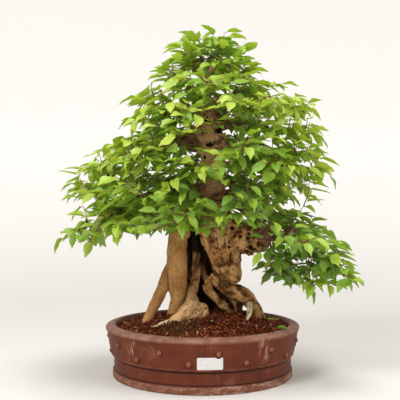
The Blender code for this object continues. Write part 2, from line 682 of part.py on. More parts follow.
def add_shoot(name, line, leaves, collection):
    """A narrow strip with its blades fanned out from it, as one sheet given its thickness."""
    bm = bmesh.new()

    def on_edge(share, side):
        place, heading = along(line, share)
        across = Vector((0, 0, 1)).cross(heading).normalized() * SHOOT_HALF_WIDTH
        return bm.verts.new((place + side * across) * MM)

    edges = {side: [on_edge(0.0, side)] for side in (-1, 1)}
    necks = []
    for share, side, _, _ in leaves:
        if side:
            edges[side] += [on_edge(share, side), on_edge(share + NECK, side)]
            necks.append(edges[side][-2:][::-side])
        else:
            necks.append(None)
    ends = [on_edge(1.0, -1), on_edge(1.0, 1)]
    bm.faces.new([*edges[-1], *ends, *reversed(edges[1])])
    for (_, _, frame, length), neck in zip(leaves, necks):
        first, last = neck or ends
        ring = [*[bm.verts.new(point * MM) for point in leaf_points(frame, length)], last]
        for near, far in zip(ring, ring[1:]):
            bm.faces.new((first, near, far))
    bmesh.ops.triangulate(bm, faces=bm.faces[:])
    bmesh.ops.recalc_face_normals(bm, faces=bm.faces)
    sheet = add_bmesh(name, bm, collection)
    solidify = sheet.modifiers.new("Thickness", "SOLIDIFY")
    solidify.thickness = BLADE_THICKNESS * MM
    solidify.offset = 0.0
    return sheet


def make_branch(number, limb, shoots, leaves, parts, cutters, material):
    """One leafy branch: its limb and its shoots in one Boolean union."""
    line, radii = limb
    branch = tube(f"leafy_branch_{number:02d}", [point * MM for point in line], radii, 0, parts, material)
    for index, (shoot, shoot_leaves) in enumerate(zip(shoots, leaves)):
        add_shoot(f"shoot_{index}", shoot, shoot_leaves, cutters)
    boolean(branch, "UNION", cutters=cutters, solver="MANIFOLD")
    remove(cutters.objects)
    return branch


def add_stubs(wood, ends, limbs, cutters):
    """Branch stubs that end in a flat face, joined to the old wood."""
    for index, (root, out, cover, *_) in enumerate(ends):
        radius = limbs[index][1][0]
        end = root + out * (cover + STUB_LENGTH)
        tube(f"stub_{index}", [root * MM, end * MM], [radius * 1.5, radius * 1.02], 0, cutters)
    boolean(wood, "UNION", cutters=cutters, solver="MANIFOLD")
    remove(cutters.objects)


def main():
    remove(bpy.data.objects)
    parts = bpy.data.collections.new("hornbeam_bonsai")
    cutters = bpy.data.collections.new("cutters")
    bpy.context.scene.collection.children.link(parts)
    bpy.context.scene.collection.children.link(cutters)
    clay = make_material("unglazed_clay", (0.16, 0.055, 0.035), 0.7)
    bark = make_material("bark", (0.24, 0.14, 0.07), 0.85)
    leaf_green = make_material("leaf_green", (0.12, 0.28, 0.02), 0.5)
    earth = make_material("soil_granules", (0.06, 0.028, 0.018), 0.95)
    plastic = make_material("screen_plastic", (0.02, 0.02, 0.02), 0.5)
    paper = make_material("label_paper", (0.8, 0.8, 0.78), 0.6)

    make_pot(parts, cutters, clay)
    make_label(parts, paper)
    make_screen(parts, cutters, plastic)
    wood = make_wood_body(parts, cutters, bark)
    make_soil(parts, cutters, wood, earth)
    ends, limbs, leaves = plan_crown()
    add_stubs(wood, ends, limbs, cutters)
    for index, (line, radii, shoots) in enumerate(limbs):
        make_branch(index + 1, (line, radii), shoots, leaves[index], parts, cutters, leaf_green)


main()
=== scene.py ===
import itertools
import math
import random

import bpy
import numpy as np
from mathutils import Matrix, Vector
from mathutils.bvhtree import BVHTree


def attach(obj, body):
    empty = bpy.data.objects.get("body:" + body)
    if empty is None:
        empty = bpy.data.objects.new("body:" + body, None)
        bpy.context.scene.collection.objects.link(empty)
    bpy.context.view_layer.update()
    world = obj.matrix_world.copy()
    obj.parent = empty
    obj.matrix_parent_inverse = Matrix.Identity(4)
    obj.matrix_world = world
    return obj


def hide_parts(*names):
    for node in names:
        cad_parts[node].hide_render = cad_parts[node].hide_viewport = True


# Korean hornbeam bonsai in its drum pot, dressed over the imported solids.
# Tables and shape functions are in millimetres; meshes are in metres.

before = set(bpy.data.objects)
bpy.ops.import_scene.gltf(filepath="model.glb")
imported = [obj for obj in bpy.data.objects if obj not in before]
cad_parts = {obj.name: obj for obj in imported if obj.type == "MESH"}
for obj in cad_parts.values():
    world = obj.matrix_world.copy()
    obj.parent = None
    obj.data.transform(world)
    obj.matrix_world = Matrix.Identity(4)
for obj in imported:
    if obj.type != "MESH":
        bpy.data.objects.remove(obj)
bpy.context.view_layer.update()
mm = 0.001
print("frame loaded:", len(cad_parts), "solids")


# Held between 0 and 1
def unit(x):
    return np.clip(x, 0.0, 1.0)


# Shader expressions

# A socket that reads as a number: each operator adds a Math node
class Wire:
    def __init__(self, finish, socket):
        self.finish, self.socket = finish, socket

    def maths(self, operation, first, second=0.0):
        return self.finish.node("Math", {"operation": operation}, {0: first, 1: second})

    def __add__(self, other):
        return self.maths("ADD", self, other)

    def __sub__(self, other):
        return self.maths("SUBTRACT", self, other)

    def __rsub__(self, other):
        return self.maths("SUBTRACT", other, self)

    def __mul__(self, other):
        return self.maths("MULTIPLY", self, other)

    def __truediv__(self, other):
        return self.maths("DIVIDE", self, other)

    __radd__, __rmul__ = __add__, __mul__

    def most(self, other):
        return self.maths("MAXIMUM", self, other)

    # A smoothstep from 0 at low to 1 at high, or a fall where low is the larger
    def rise(self, low, high):
        values = {"Value": self, "From Min": low, "From Max": high}
        return self.finish.node("MapRange", {"interpolation_type": "SMOOTHSTEP"}, values)

    # 1 within near of the middle value, 0 beyond far from it
    def band(self, middle, near, far):
        return self.maths("ABSOLUTE", self - middle).rise(far, near)


# One material: constants on the shader's own sockets, and varying values linked to it
class Finish:
    def __init__(self, name, constants):
        self.material = bpy.data.materials.new(name)
        self.material.use_nodes = True
        self.tree = self.material.node_tree
        self.shader = self.tree.nodes["Principled BSDF"]
        for socket, value in constants.items():
            self.shader.inputs[socket].default_value = value
        self.place = self.node("TexCoord", output="Object")

    # Any other node: its settings first, then the values or links of its sockets
    def node(self, kind, settings={}, values={}, output=0):
        made = self.tree.nodes.new("ShaderNode" + kind)
        for key, value in settings.items():
            setattr(made, key, value)
        for key, value in values.items():
            if isinstance(value, Wire):
                self.tree.links.new(value.socket, made.inputs[key])
            else:
                made.inputs[key].default_value = value
        return Wire(self, made.outputs[output])

    # Noise between 0 and 1 whose features are about size millimetres across
    def noise(self, size, detail=2.0, place=None, distortion=0.0):
        values = {"Vector": place or self.place, "Scale": 1.0 / (size * mm), "Detail": detail}
        return self.node("TexNoise", {}, {**values, "Distortion": distortion})

    # The place stretched, so that a pattern is long along some axes
    def stretched(self, *scale):
        return self.node("Mapping", {}, {"Vector": self.place, "Scale": scale})

    def value(self, name, output="Fac"):
        return self.node("Attribute", {"attribute_name": name}, output=output)

    # A colour under layers of other colours, each with how much of it covers
    def coats(self, colour, *layers):
        for over, cover in layers:
            under, over = (c if isinstance(c, Wire) else (*c, 1.0) for c in (colour, over))
            colour = self.node("Mix", {"data_type": "RGBA"}, {"Factor": cover, 6: under, 7: over}, 2)
        return colour

    def paint(self, colour, roughness=None, bump=None, depth=0.3):
        normal = bump and self.node("Bump", {}, {"Height": bump, "Distance": depth * mm, "Strength": 1.0})
        for name, wire in (("Base Color", colour), ("Roughness", roughness), ("Normal", normal)):
            if wire:
                self.tree.links.new(wire.socket, self.shader.inputs[name])
        return self.material


# Mesh tools

def addObject(name, data, place=(0, 0, 0), turn=(0, 0, 0)):
    made = bpy.data.objects.new(name, data)
    made.location, made.rotation_euler = place, turn
    bpy.context.scene.collection.objects.link(made)
    return made


# Arrays of points and faces put into a mesh; faces is a list of index arrays, each with one corner count
def putMesh(name, points, faces, materials, smooth=True, slots=None, uv=None, values={}):
    mesh = bpy.data.meshes.new(name)
    counts = np.concatenate([np.full(len(group), group.shape[1]) for group in faces])
    corners = np.concatenate([group.ravel() for group in faces]).astype(np.int32)
    mesh.vertices.add(len(points))
    mesh.vertices.foreach_set("co", (np.asarray(points) * mm).astype(np.float32).ravel())
    mesh.loops.add(len(corners))
    mesh.loops.foreach_set("vertex_index", corners)
    mesh.polygons.add(len(counts))
    mesh.polygons.foreach_set("loop_start", (np.cumsum(counts) - counts).astype(np.int32))
    mesh.polygons.foreach_set("use_smooth", np.full(len(counts), smooth))
    if slots is not None:
        mesh.polygons.foreach_set("material_index", slots.astype(np.int32))
    mesh.update(calc_edges=True)
    if uv is not None:
        mesh.uv_layers.new(name="UVMap").data.foreach_set("uv", uv[corners].astype(np.float32).ravel())
    for key, array in values.items():
        kind, field = ("FLOAT", "value") if array.ndim == 1 else ("FLOAT_VECTOR", "vector")
        layer = mesh.attributes.new(key, kind, "POINT")
        layer.data.foreach_set(field, array.astype(np.float32).ravel())
    for material in materials:
        mesh.materials.append(material)
    return addObject(name, mesh)


# Quads of a grid of rows and columns; in a ring the last column is joined to the first
def gridFaces(rows, columns, ring=False):
    grid = np.arange(rows * columns).reshape(rows, columns)
    if ring:
        grid = np.column_stack([grid, grid[:, 0]])
    return np.stack([grid[:-1, :-1], grid[:-1, 1:], grid[1:, 1:], grid[1:, :-1]], axis=-1).reshape(-1, 4)


# Faces repeated for copies of a grid, each with its own points
def repeatFaces(faces, copies, pointsEach):
    return (faces[None] + (np.arange(copies) * pointsEach)[:, None, None]).reshape(-1, faces.shape[1])


# Shells put together as one: each is its points, its quads and its triangles
def joined(shells):
    starts = np.cumsum([0] + [len(points) for points, _ in shells])
    faces = [np.concatenate([groups[k] + start for (_, groups), start in zip(shells, starts)])
             for k in (0, 1)]
    return np.concatenate([points for points, _ in shells]), faces


# A smooth path: Catmull-Rom through the control rows, samples points long
def smoothPath(rows, samples):
    rows = np.asarray(rows, float)
    padded = np.concatenate([2 * rows[:1] - rows[1:2], rows, 2 * rows[-1:] - rows[-2:-1]])
    at = np.linspace(0, len(rows) - 1, samples)
    index = np.minimum(at.astype(int), len(rows) - 2)
    t = (at - index)[:, None]
    a, b, c, d = (padded[index + shift] for shift in range(4))
    return 0.5 * (2 * b + (c - a) * t + (2 * a - 5 * b + 4 * c - d) * t**2 + (3 * b - a - 3 * c + d) * t**3)


# Round tubes along many paths at once: paths (n, p, 3), radii (n, p). Each ring is the path's point plus
# radius times cosine and sine of the angle along two vectors square to the path; both ends close in a point.
def tubeGrids(paths, radii, sides):
    ahead = np.gradient(paths, axis=1)
    ahead /= np.linalg.norm(ahead, axis=2, keepdims=True) + 1e-9
    upright = np.abs(ahead[:, :, 2].mean(axis=1)) > 0.75
    side = np.cross(ahead, np.where(upright[:, None, None], (0.96, 0.28, 0.0), (0.05, 0.1, 1.0)))
    side /= np.linalg.norm(side, axis=2, keepdims=True) + 1e-9
    up = np.cross(side, ahead)
    angle = np.linspace(0, 2 * np.pi, sides, endpoint=False)[:, None]
    turn = np.cos(angle) * side[:, :, None, :] + np.sin(angle) * up[:, :, None, :]
    rings = paths[:, :, None, :] + radii[:, :, None, None] * turn
    copies, length = paths.shape[:2]
    points = np.concatenate([paths[:, :1], rings.reshape(copies, -1, 3), paths[:, -1:]], axis=1)
    around, last = np.arange(sides), length * sides + 1
    after = (around + 1) % sides
    start = np.stack([0 * around, 1 + after, 1 + around], axis=1)
    end = np.stack([0 * around + last, last - sides + around, last - sides + after], axis=1)
    groups = [gridFaces(length, sides, ring=True) + 1, np.concatenate([start, end])]
    return points.reshape(-1, 3), [repeatFaces(faces, copies, last + 1) for faces in groups]


# A profile of (radius, height) turned about Z: x and y are the radius times cosine and sine
def turnedGrid(profile, steps):
    angle = np.linspace(0, 2 * np.pi, steps, endpoint=False)
    radius, height = np.asarray(profile, float).T[:, :, None]
    points = [radius * np.cos(angle), radius * np.sin(angle), height + 0 * angle]
    return np.stack(points, axis=-1).reshape(-1, 3)


# Random values between 0 and 1 on a cubic lattice, blended by a smoothstep between its corners
def cloud(places, size, seed):
    cell = places / size + 31.7 * seed
    base = np.floor(cell)
    part = cell - base
    part = part * part * (3.0 - 2.0 * part)
    total = np.zeros(len(places))
    for corner in itertools.product((0.0, 1.0), repeat=3):
        offset = np.array(corner[::-1])
        weight = np.prod(np.where(offset > 0, part, 1.0 - part), axis=1)
        mixed = np.sin((base + offset) @ np.array([12.9898, 78.233, 37.719]) + seed) * 43758.5453
        total += weight * (mixed - np.floor(mixed))
    return total


# Layers of cloud, each half the size and half the height of the one before, between -1 and 1
def clouds(places, size, layers, seed):
    total = sum((cloud(places, size / 2**n, seed + n) - 0.5) / 2**n for n in range(layers))
    return total * 2.0 / sum(0.5**n for n in range(layers))


# A rounder outline: each pass cuts every corner a quarter of the way along its sides
def rounded(outline, passes):
    outline = np.asarray(outline, float)
    for _ in range(passes):
        cuts = [near * outline[:-1] + (1 - near) * outline[1:] for near in (0.75, 0.25)]
        outline = np.concatenate([outline[:1], np.stack(cuts, axis=1).reshape(-1, 2), outline[-1:]])
    return outline


def settle(piece, slot, *nodes):
    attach(piece, "root")
    if nodes:
        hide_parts(*nodes)


# Materials

def clayFinish():
    f = Finish("unglazedClay", {"Specular IOR Level": 0.18})
    across, depth, up = (f.node("SeparateXYZ", {}, {0: f.place}, k) / mm for k in range(3))
    mottle, fine = f.noise(26, 4), f.noise(1.6, 3)
    # Pale streaks run down the wall: thin round the pot, long in height, in patches at both sides
    streaks = f.noise(4, 3, f.stretched(1.0, 1.0, 0.05)).rise(0.54, 0.7)
    patches = f.noise(75, 1, f.stretched(1.0, 1.0, 0.4)).rise(0.54, 0.7)
    front = depth.rise(-20, -60)
    leftRun = across.band(-124, 4, 11) * up.rise(46, 66) * front
    rightRun = across.band(103, 2, 12) * up.rise(44, 56) * front
    smudge = f.noise(28, 5, distortion=0.8).rise(0.6, 0.8)
    cloudy = f.noise(9, 5, f.stretched(1.0, 1.0, 0.5), 0.6).rise(0.46, 0.62)
    lime = streaks * (patches * 0.25 + leftRun * 0.7) + cloudy * rightRun * 0.5 + smudge * 0.12
    # Lime gathers on the rim's crest, laid on thicker there as a painted highlight where the top light falls,
    # and, in clouds and specks, on the foot flange
    rim = up.rise(84, 93) * (0.26 + 0.3 * f.noise(22, 4).rise(0.35, 0.7))
    clouded = f.noise(15, 5, f.stretched(1.0, 1.0, 2.0), 0.5).rise(0.4, 0.62)
    specks = f.noise(3.0, 5, f.stretched(0.6, 0.6, 1.5)).rise(0.42, 0.6)
    speckled = clouded * (0.15 + 0.6 * specks) * (0.5 + 0.5 * across.rise(-120, 120))
    cover = lime.most(rim + up.rise(14.0, 12.2) * (0.12 + speckled) + up.rise(42, 22) * smudge * 0.3)
    # Painted shade as dark lines in the groove and above the flange, and a painted highlight along the edge
    # under the wall's foot
    grooveShade = up.band(36.6, 0.96, 2.4) + up.band(15.4, 0.57, 1.9)
    edgeHighlight = up.band(41.8, 0.36, 1.8) * mottle.rise(0.3, 0.6)
    # The nail heads get a painted highlight on top and stand in a ring of painted shade
    studHighlight, ring = f.value("studHighlight") * (0.25 + 0.35 * mottle), f.value("ring")
    colour = f.coats((0.098, 0.019, 0.007), ((0.142, 0.031, 0.011), mottle.rise(0.3, 0.72)),
                     ((0.3, 0.12, 0.07), fine.rise(0.55, 0.8) * 0.22), ((0.5, 0.3, 0.215), cover),
                     ((0.36, 0.16, 0.1), edgeHighlight * 0.4),
                     # The recessed band between the flange and the groove is painted a little darker as shade
                     ((0.06, 0.016, 0.008), up.rise(14, 16) * up.rise(40, 38) * 0.12),
                     ((0.018, 0.006, 0.004), grooveShade * 0.85), ((0.38, 0.15, 0.09), studHighlight),
                     ((0.03, 0.008, 0.005), ring * 0.8))
    rough = 0.48 + 0.2 * mottle + 0.2 * cover
    return f.paint(colour, rough, fine * 0.6 + f.noise(0.7, 2) * 0.4 + cover * 0.5, 0.35)


def labelFinish():
    f = Finish("blankLabelPaper", {"Specular IOR Level": 0.4, "Coat Weight": 0.15})
    soft = f.noise(9, 3)
    colour = f.coats((0.7, 0.7, 0.69), ((0.6, 0.59, 0.56), soft.rise(0.45, 0.8)))
    return f.paint(colour, 0.38 + 0.12 * soft, f.noise(0.7, 2), 0.03)


def screenFinish():
    f = Finish("screenPlastic", {"Specular IOR Level": 0.4})
    dust = f.noise(4, 3)
    colour = f.coats((0.012, 0.012, 0.013), ((0.07, 0.045, 0.035), dust.rise(0.5, 0.8)))
    return f.paint(colour, 0.45 + 0.3 * dust, dust, 0.1)


def soilFinish():
    f = Finish("soilGranules", {"Specular IOR Level": 0.1})
    kind, damp = f.value("kind"), f.noise(5, 3)
    mossy = f.value("moss") * f.noise(30, 3).rise(0.35, 0.6)
    colour = f.coats((0.024, 0.006, 0.003), ((0.135, 0.028, 0.009), kind.rise(0.1, 0.6)),
                     ((0.33, 0.09, 0.03), kind.rise(0.74, 0.95)), ((0.6, 0.4, 0.22), kind.rise(0.98, 0.982)),
                     ((0.05, 0.045, 0.014), mossy * 0.7),
                     ((0.018, 0.008, 0.006), damp.rise(0.52, 0.8) * 0.45))
    return f.paint(colour, 0.72 + 0.2 * damp, f.noise(1.1, 3), 0.3)


def woodFinish():
    f = Finish("oldBark", {"Specular IOR Level": 0.12})
    flow = f.value("flow", "Vector")
    names = ("live", "darkWoodAndShade", "paleAndLit", "groove", "pit", "reliefShade")
    live, darkWoodAndShade, paleAndLit, groove, pit, reliefShade = (f.value(name) for name in names)
    fibres, threads, smooth = f.noise(1000, 6, flow), f.noise(260, 4, flow), f.noise(900, 1, flow)
    speck = f.node("TexVoronoi", {}, {"Vector": f.place, "Scale": 1.0 / (2.4 * mm)})
    patch, grit = f.noise(34, 4), f.noise(3.5, 5)
    # Dark cracks run along the grain where the noise crosses its middle value
    crack = smooth.band(0.5, 0.006, 0.04) * f.noise(26, 2).rise(0.4, 0.52)
    fine = threads.band(0.5, 0.0, 0.04) * f.noise(15, 2, distortion=0.4).rise(0.5, 0.62)
    crack = (crack + fine * 0.6) * (1.0 - 0.95 * live)
    liveColour = f.coats((0.34, 0.15, 0.048), ((0.56, 0.31, 0.115), patch.rise(0.3, 0.7)),
                         ((0.19, 0.08, 0.026), speck.rise(0.46, 0.75) * 0.6),
                         ((0.6, 0.38, 0.18), grit.rise(0.56, 0.75) * 0.45))
    # The dead wood by its relief: painted light on the ridges and painted shade in the dips
    colour = f.coats((0.1, 0.038, 0.013), ((0.52, 0.255, 0.088), reliefShade.rise(0.24, 0.6)),
                     ((0.62, 0.38, 0.17), (reliefShade + 0.5 * patch).rise(0.72, 0.98) * 0.75),
                     ((0.2, 0.085, 0.03), fibres.rise(0.5, 0.7) * 0.5),
                     ((0.12, 0.05, 0.02), grit.rise(0.55, 0.75) * 0.4), (liveColour, live),
                     # Pale bark, and on the upper trunk painted light that lifts the leaves' shade
                     ((0.72, 0.48, 0.26), paleAndLit * (0.35 + 0.65 * grit.rise(0.35, 0.65))),
                     ((0.76, 0.66, 0.4), paleAndLit.rise(0.75, 1.0) * 0.65), ((0.035, 0.013, 0.006), crack * 0.85),
                     # Grooves and creases painted dark as shade
                     ((0.03, 0.011, 0.005), groove.rise(0.25, 0.9) * 0.85),
                     # The ribs' own darker red-brown wood, then painted shade deep in the hollow and its
                     # slits
                     ((0.055, 0.018, 0.008), darkWoodAndShade.rise(0.0, 0.55) * 0.8),
                     ((0.005, 0.002, 0.001), darkWoodAndShade.rise(0.45, 1.0) * 0.92),
                     # Pits and cavities painted dark as shade
                     ((0.01, 0.005, 0.003), pit.rise(0.3, 0.75)))
    height = fibres * (1.0 - 0.8 * live) + grit * 0.5 + speck * live * 0.3 - crack * 0.6 * (1.0 - live)
    return f.paint(colour, 0.72 + 0.2 * fibres, height, 1.6)


def twigFinish():
    f = Finish("twigBark", {"Specular IOR Level": 0.35})
    patch = f.noise(6, 3)
    blotch = patch.rise(0.35, 0.7)
    old = f.coats((0.12, 0.05, 0.028), ((0.22, 0.12, 0.07), blotch))
    young = f.coats((0.17, 0.045, 0.025), ((0.3, 0.11, 0.05), blotch))
    return f.paint(f.coats(old, (young, f.value("tone"))), 0.55 + 0.25 * patch, f.noise(1.0, 3), 0.2)


# Leaf colour by tone, which carries both the young leaves' yellow and painted shade deep in the crown, with
# pale side veins worked out from the leaf's own UV map
def leafFinish():
    look = {"through": 0.26, "veins": 9.0, "slant": 0.42}
    f = Finish("leafBlade", {"Specular IOR Level": 0.6})
    tone, patch = f.value("tone"), f.noise(16, 3)
    blade = f.node("UVMap", {"uv_map": "UVMap"})
    u, v = (f.node("SeparateXYZ", {}, {0: blade}, k) for k in (0, 1))
    wave = (v - u.maths("ABSOLUTE", u - 0.5) * look["slant"]) * look["veins"]
    vein = wave.maths("FRACT", wave).band(0.5, 0.0, 0.175)
    lines = (vein * 0.55).most(u.band(0.5, 0.01, 0.06))
    colour = f.coats((0.075, 0.18, 0.034), ((0.2, 0.38, 0.046), tone.rise(0.0, 0.35)),
                     ((0.41, 0.57, 0.056), tone.rise(0.3, 0.68)), ((0.57, 0.67, 0.085), tone.rise(0.65, 1.0)),
                     ((0.12, 0.3, 0.02), patch.rise(0.5, 0.8) * 0.25), ((0.55, 0.66, 0.16), lines * 0.28))
    material = f.paint(colour, 0.3 + 0.16 * patch, lines + 0.3 * f.noise(2.0, 2), 0.25)
    glow = f.node("BsdfTranslucent", {}, {"Color": (0.38, 0.56, 0.02, 1.0)})
    both = f.node("MixShader", {}, {0: look["through"], 1: Wire(f, f.shader.outputs[0]), 2: glow})
    f.tree.links.new(both.socket, f.tree.nodes["Material Output"].inputs["Surface"])
    return material


finishes = {"clay": clayFinish(), "label": labelFinish(), "screen": screenFinish(), "soil": soilFinish(),
            "wood": woodFinish(), "twig": twigFinish(), "leaf": leafFinish()}
print("finishes made:", len(finishes))


# The pot

pot = {"rimRadius": 180.0, "rimWidth": 17.5, "height": 96.0, "wallRadius": 177.0, "grooveRadius": 163.5,
       "grooveHeight": 35.0, "flangeRadius": 167.0, "flangeHeight": 12.0, "footRing": 24.0, "footRecess": 6.0,
       "floorHeight": 18.0, "wall": 16.0, "drainRadius": 17.0, "steps": 180, "unevenness": 0.45,
       "studPairs": 11, "studRadius": 4.6, "studStand": 4.0, "studFirstAngle": 8.5,
       "studHeights": (70.0, 52.5), "studSides": 16}


# The outer wall from the rim's crest down to the foot, as (radius, height)
def wallOutline():
    edge = pot["height"] - 4.0
    rim, wall, groove, low = pot["rimRadius"], pot["wallRadius"], pot["grooveRadius"], pot["grooveHeight"]
    flange, shelf = pot["flangeRadius"], pot["flangeHeight"]
    return [(rim - pot["rimWidth"], edge + 3.5), (rim - pot["rimWidth"] + 2.5, edge + 4.0),
            (rim - 3.0, edge + 1.5), (rim, edge - 1.5), (rim - 0.5, edge - 5.0), (wall, edge - 8.0),
            (wall - 2.5, 66.0), (wall - 7.2, 43.5), (wall - 8.0, 41.0), (groove + 2.0, low + 3.0),
            (groove, low + 2.2), (groove, low), (groove + 1.0, low - 5.0), (groove + 0.6, shelf + 3.2),
            (groove + 1.2, shelf + 1.6), (flange - 1.0, shelf + 1.4), (flange, shelf + 0.4),
            (flange, shelf - 2.0), (flange, 3.0), (flange - 0.6, 0.8), (flange - 2.5, 0.0)]


# Radius of the tapered wall at heights
def wallRadius(heights):
    radius, height = np.asarray(wallOutline())[5:8][::-1].T
    return np.interp(heights, height, radius)


# The whole outline, inside, outside and foot, turned about Z and closed through the drain hole
def makePot():
    names = ("rimRadius", "grooveRadius", "floorHeight", "drainRadius")
    rim, groove, floor, drain = (pot[name] for name in names)
    inside = [(drain + 0.8, floor), (groove - pot["wall"] - 2.0, floor), (groove - 11.0, floor + 9.0),
              (rim - 23.0, 50.0), (rim - 20.0, 84.0), (rim - 18.5, pot["height"] - 3.0)]
    foot = pot["flangeRadius"] - 2.5 - pot["footRing"]
    under = [(foot, 0.0), (foot - 3.0, pot["footRecess"]), (drain, pot["footRecess"]), (drain, floor - 0.8)]
    outline = np.concatenate([rounded(inside + wallOutline(), 2), under])
    points = turnedGrid(outline, pot["steps"])
    faces = gridFaces(len(outline) + 1, pot["steps"], ring=True) % len(points)
    # The wall is a little uneven, as a hand-pressed pot is: the radius grows by slow waves
    away = np.hypot(points[:, 0], points[:, 1])
    wave = clouds(points, 70.0, 2, 3) * pot["unevenness"] * (away > 100.0) * (points[:, 2] > 2.0)
    points[:, :2] *= (1.0 + wave / away)[:, None]
    return putMesh("potBody", points, [faces[:, ::-1]], [finishes["clay"]])


# Domed nail heads in a zigzag: a low skirt and a quarter circle turned about each stud's own axis
def makeStuds():
    columns = pot["studSides"]
    rise = np.linspace(-0.1, 0.5 * np.pi, 7)
    out = pot["studRadius"] * np.array([1.62, 1.3, 1.06, *np.cos(rise)])
    dome = turnedGrid(np.column_stack([out, [0.12, 0.32, 0.2, *(pot["studStand"] * np.sin(rise))]]), columns)
    index = np.arange(2 * pot["studPairs"])
    angle = math.radians(pot["studFirstAngle"]) + index * math.pi / pot["studPairs"]
    height = np.where(index % 2 == 0, *pot["studHeights"])
    away = np.stack([np.sin(angle), -np.cos(angle), 0 * angle], axis=1)
    side = np.stack([np.cos(angle), np.sin(angle), 0 * angle], axis=1)
    upright = np.broadcast_to((0.0, 0.0, 1.0), side.shape)
    centre = away * wallRadius(height)[:, None] + upright * height[:, None]
    size = 1.0 + 0.1 * np.sin(7.0 * index)[:, None, None]
    points = np.einsum("pk,nkj->npj", dome, np.stack([side, upright, away], axis=1)) * size + centre[:, None]
    faces = repeatFaces(gridFaces(len(out), columns, ring=True), len(index), len(dome))
    # For each ring of a stud, from its skirt up to its top: how much painted shade and painted highlight it
    # takes
    rings = {"ring": [0.0, 0.7, 1.0, 0.9, 0.35, 0, 0, 0, 0, 0],
             "studHighlight": [0.0, 0, 0, 0, 0.2, 0.6, 0.9, 1, 1, 1]}
    values = {key: np.tile(np.repeat(np.array(row), columns), len(index)) for key, row in rings.items()}
    return putMesh("potStuds", points.reshape(-1, 3), [faces], [finishes["clay"]], values=values)


settle(makePot(), "unglazed_clay", "pot")
settle(makeStuds(), "unglazed_clay")
print("pot made")


# The label: a thin sheet with round corners, bent round the wall

label = {"left": -9.8, "right": 33.4, "bottom": 43.5, "top": 64.6, "thickness": 0.5, "off": 0.4,
         "corner": 1.8, "columns": 41, "rows": 21}


# Across and up on the sheet; a corner's columns shorten by a quarter circle; depth follows the wall's circle
def makeLabel():
    columns, rows, corner = label["columns"], label["rows"], label["corner"]
    u = np.linspace(0, 1, columns)
    width, height = label["right"] - label["left"], label["top"] - label["bottom"]
    inset = np.clip(corner - np.minimum(u, 1 - u) * width, 0, None)
    cut = corner - np.sqrt(np.clip(corner**2 - inset**2, 0, None))
    share = np.linspace(0, 1, rows)[:, None]
    x, z = label["left"] + u * width + 0 * share, label["bottom"] + cut + share * (height - 2 * cut)
    radius = wallRadius(z) + label["off"]
    layers = [np.stack([x, -np.sqrt((radius + off)**2 - x**2), z], axis=-1).reshape(-1, 3)
              for off in (0.0, label["thickness"])]
    faces, count = gridFaces(rows, columns), rows * columns
    grid = np.arange(count).reshape(rows, columns)
    rim = np.concatenate([grid[0], grid[1:, -1], grid[-1, -2::-1], grid[-2:0:-1, 0]])
    after = np.roll(rim, -1)
    sides = np.stack([rim, after, after + count, rim + count], axis=1)
    return putMesh("blankLabel", np.concatenate(layers), [faces[:, ::-1], faces + count, sides],
                   [finishes["label"]])


settle(makeLabel(), "label_paper", "label")
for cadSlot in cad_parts["drain_screen"].material_slots:
    cadSlot.material = finishes["screen"]
print("label and screen made")


# The soil

soil = {"edge": 88.5, "frontRise": 4.5, "moundHeight": 25.0, "moundRadius": 150.0, "radius": 159.2,
        "bottom": 18.3, "rings": 96, "steps": 270, "roughness": 1.6, "granules": 6600,
        "granuleSize": (0.9, 2.5), "seed": 11, "mossCentre": (-38.0, -92.0), "mossReach": 52.0}


# Height of the soil: a mound round the roots, higher towards the front edge, with slow waves
def soilHeight(x, y):
    away = np.hypot(x, y)
    mound = np.clip(1.0 - (away / soil["moundRadius"])**2, 0.0, None)**1.2
    front = 0.5 - 0.5 * y / np.maximum(away, 1.0)
    waves = 0.8 * np.sin(0.11 * x + 1.3) * np.cos(0.09 * y) + 0.5 * np.sin(0.23 * (x + y))
    edge = soil["edge"] + soil["frontRise"] * front * np.minimum(1.0, away / 90.0)
    return edge + soil["moundHeight"] * mound + waves


def mossAt(x, y):
    away = np.hypot(x - soil["mossCentre"][0], y - soil["mossCentre"][1])
    return unit(1.0 - away / soil["mossReach"])


# A disc of rings whose height is the soil's plus granular noise, and a plain cup that closes it below
def makeSoilBed():
    rings, radius, bottom = (soil[key] for key in ("rings", "radius", "bottom"))
    points = turnedGrid(np.outer(np.linspace(0.004, 1.0, rings)**0.8 * radius, (1, 0)), soil["steps"])
    points[:, 2] = soilHeight(points[:, 0], points[:, 1]) - 1.0
    points[:, 2] += soil["roughness"] * (clouds(points, 5.0, 2, 21) + 0.8 * clouds(points, 13.0, 1, 22))
    cup = turnedGrid([(radius - 2.0, 60.0), (radius - 14.0, bottom), (0.5, bottom)], soil["steps"])
    points = np.concatenate([points, cup])
    kind = np.clip(0.32 + 0.5 * clouds(points, 4.0, 2, 23), 0.0, 0.6)
    return putMesh("soilBed", points, [gridFaces(rings + 3, soil["steps"], ring=True)], [finishes["soil"]],
                   values={"kind": kind, "moss": mossAt(points[:, 0], points[:, 1])})


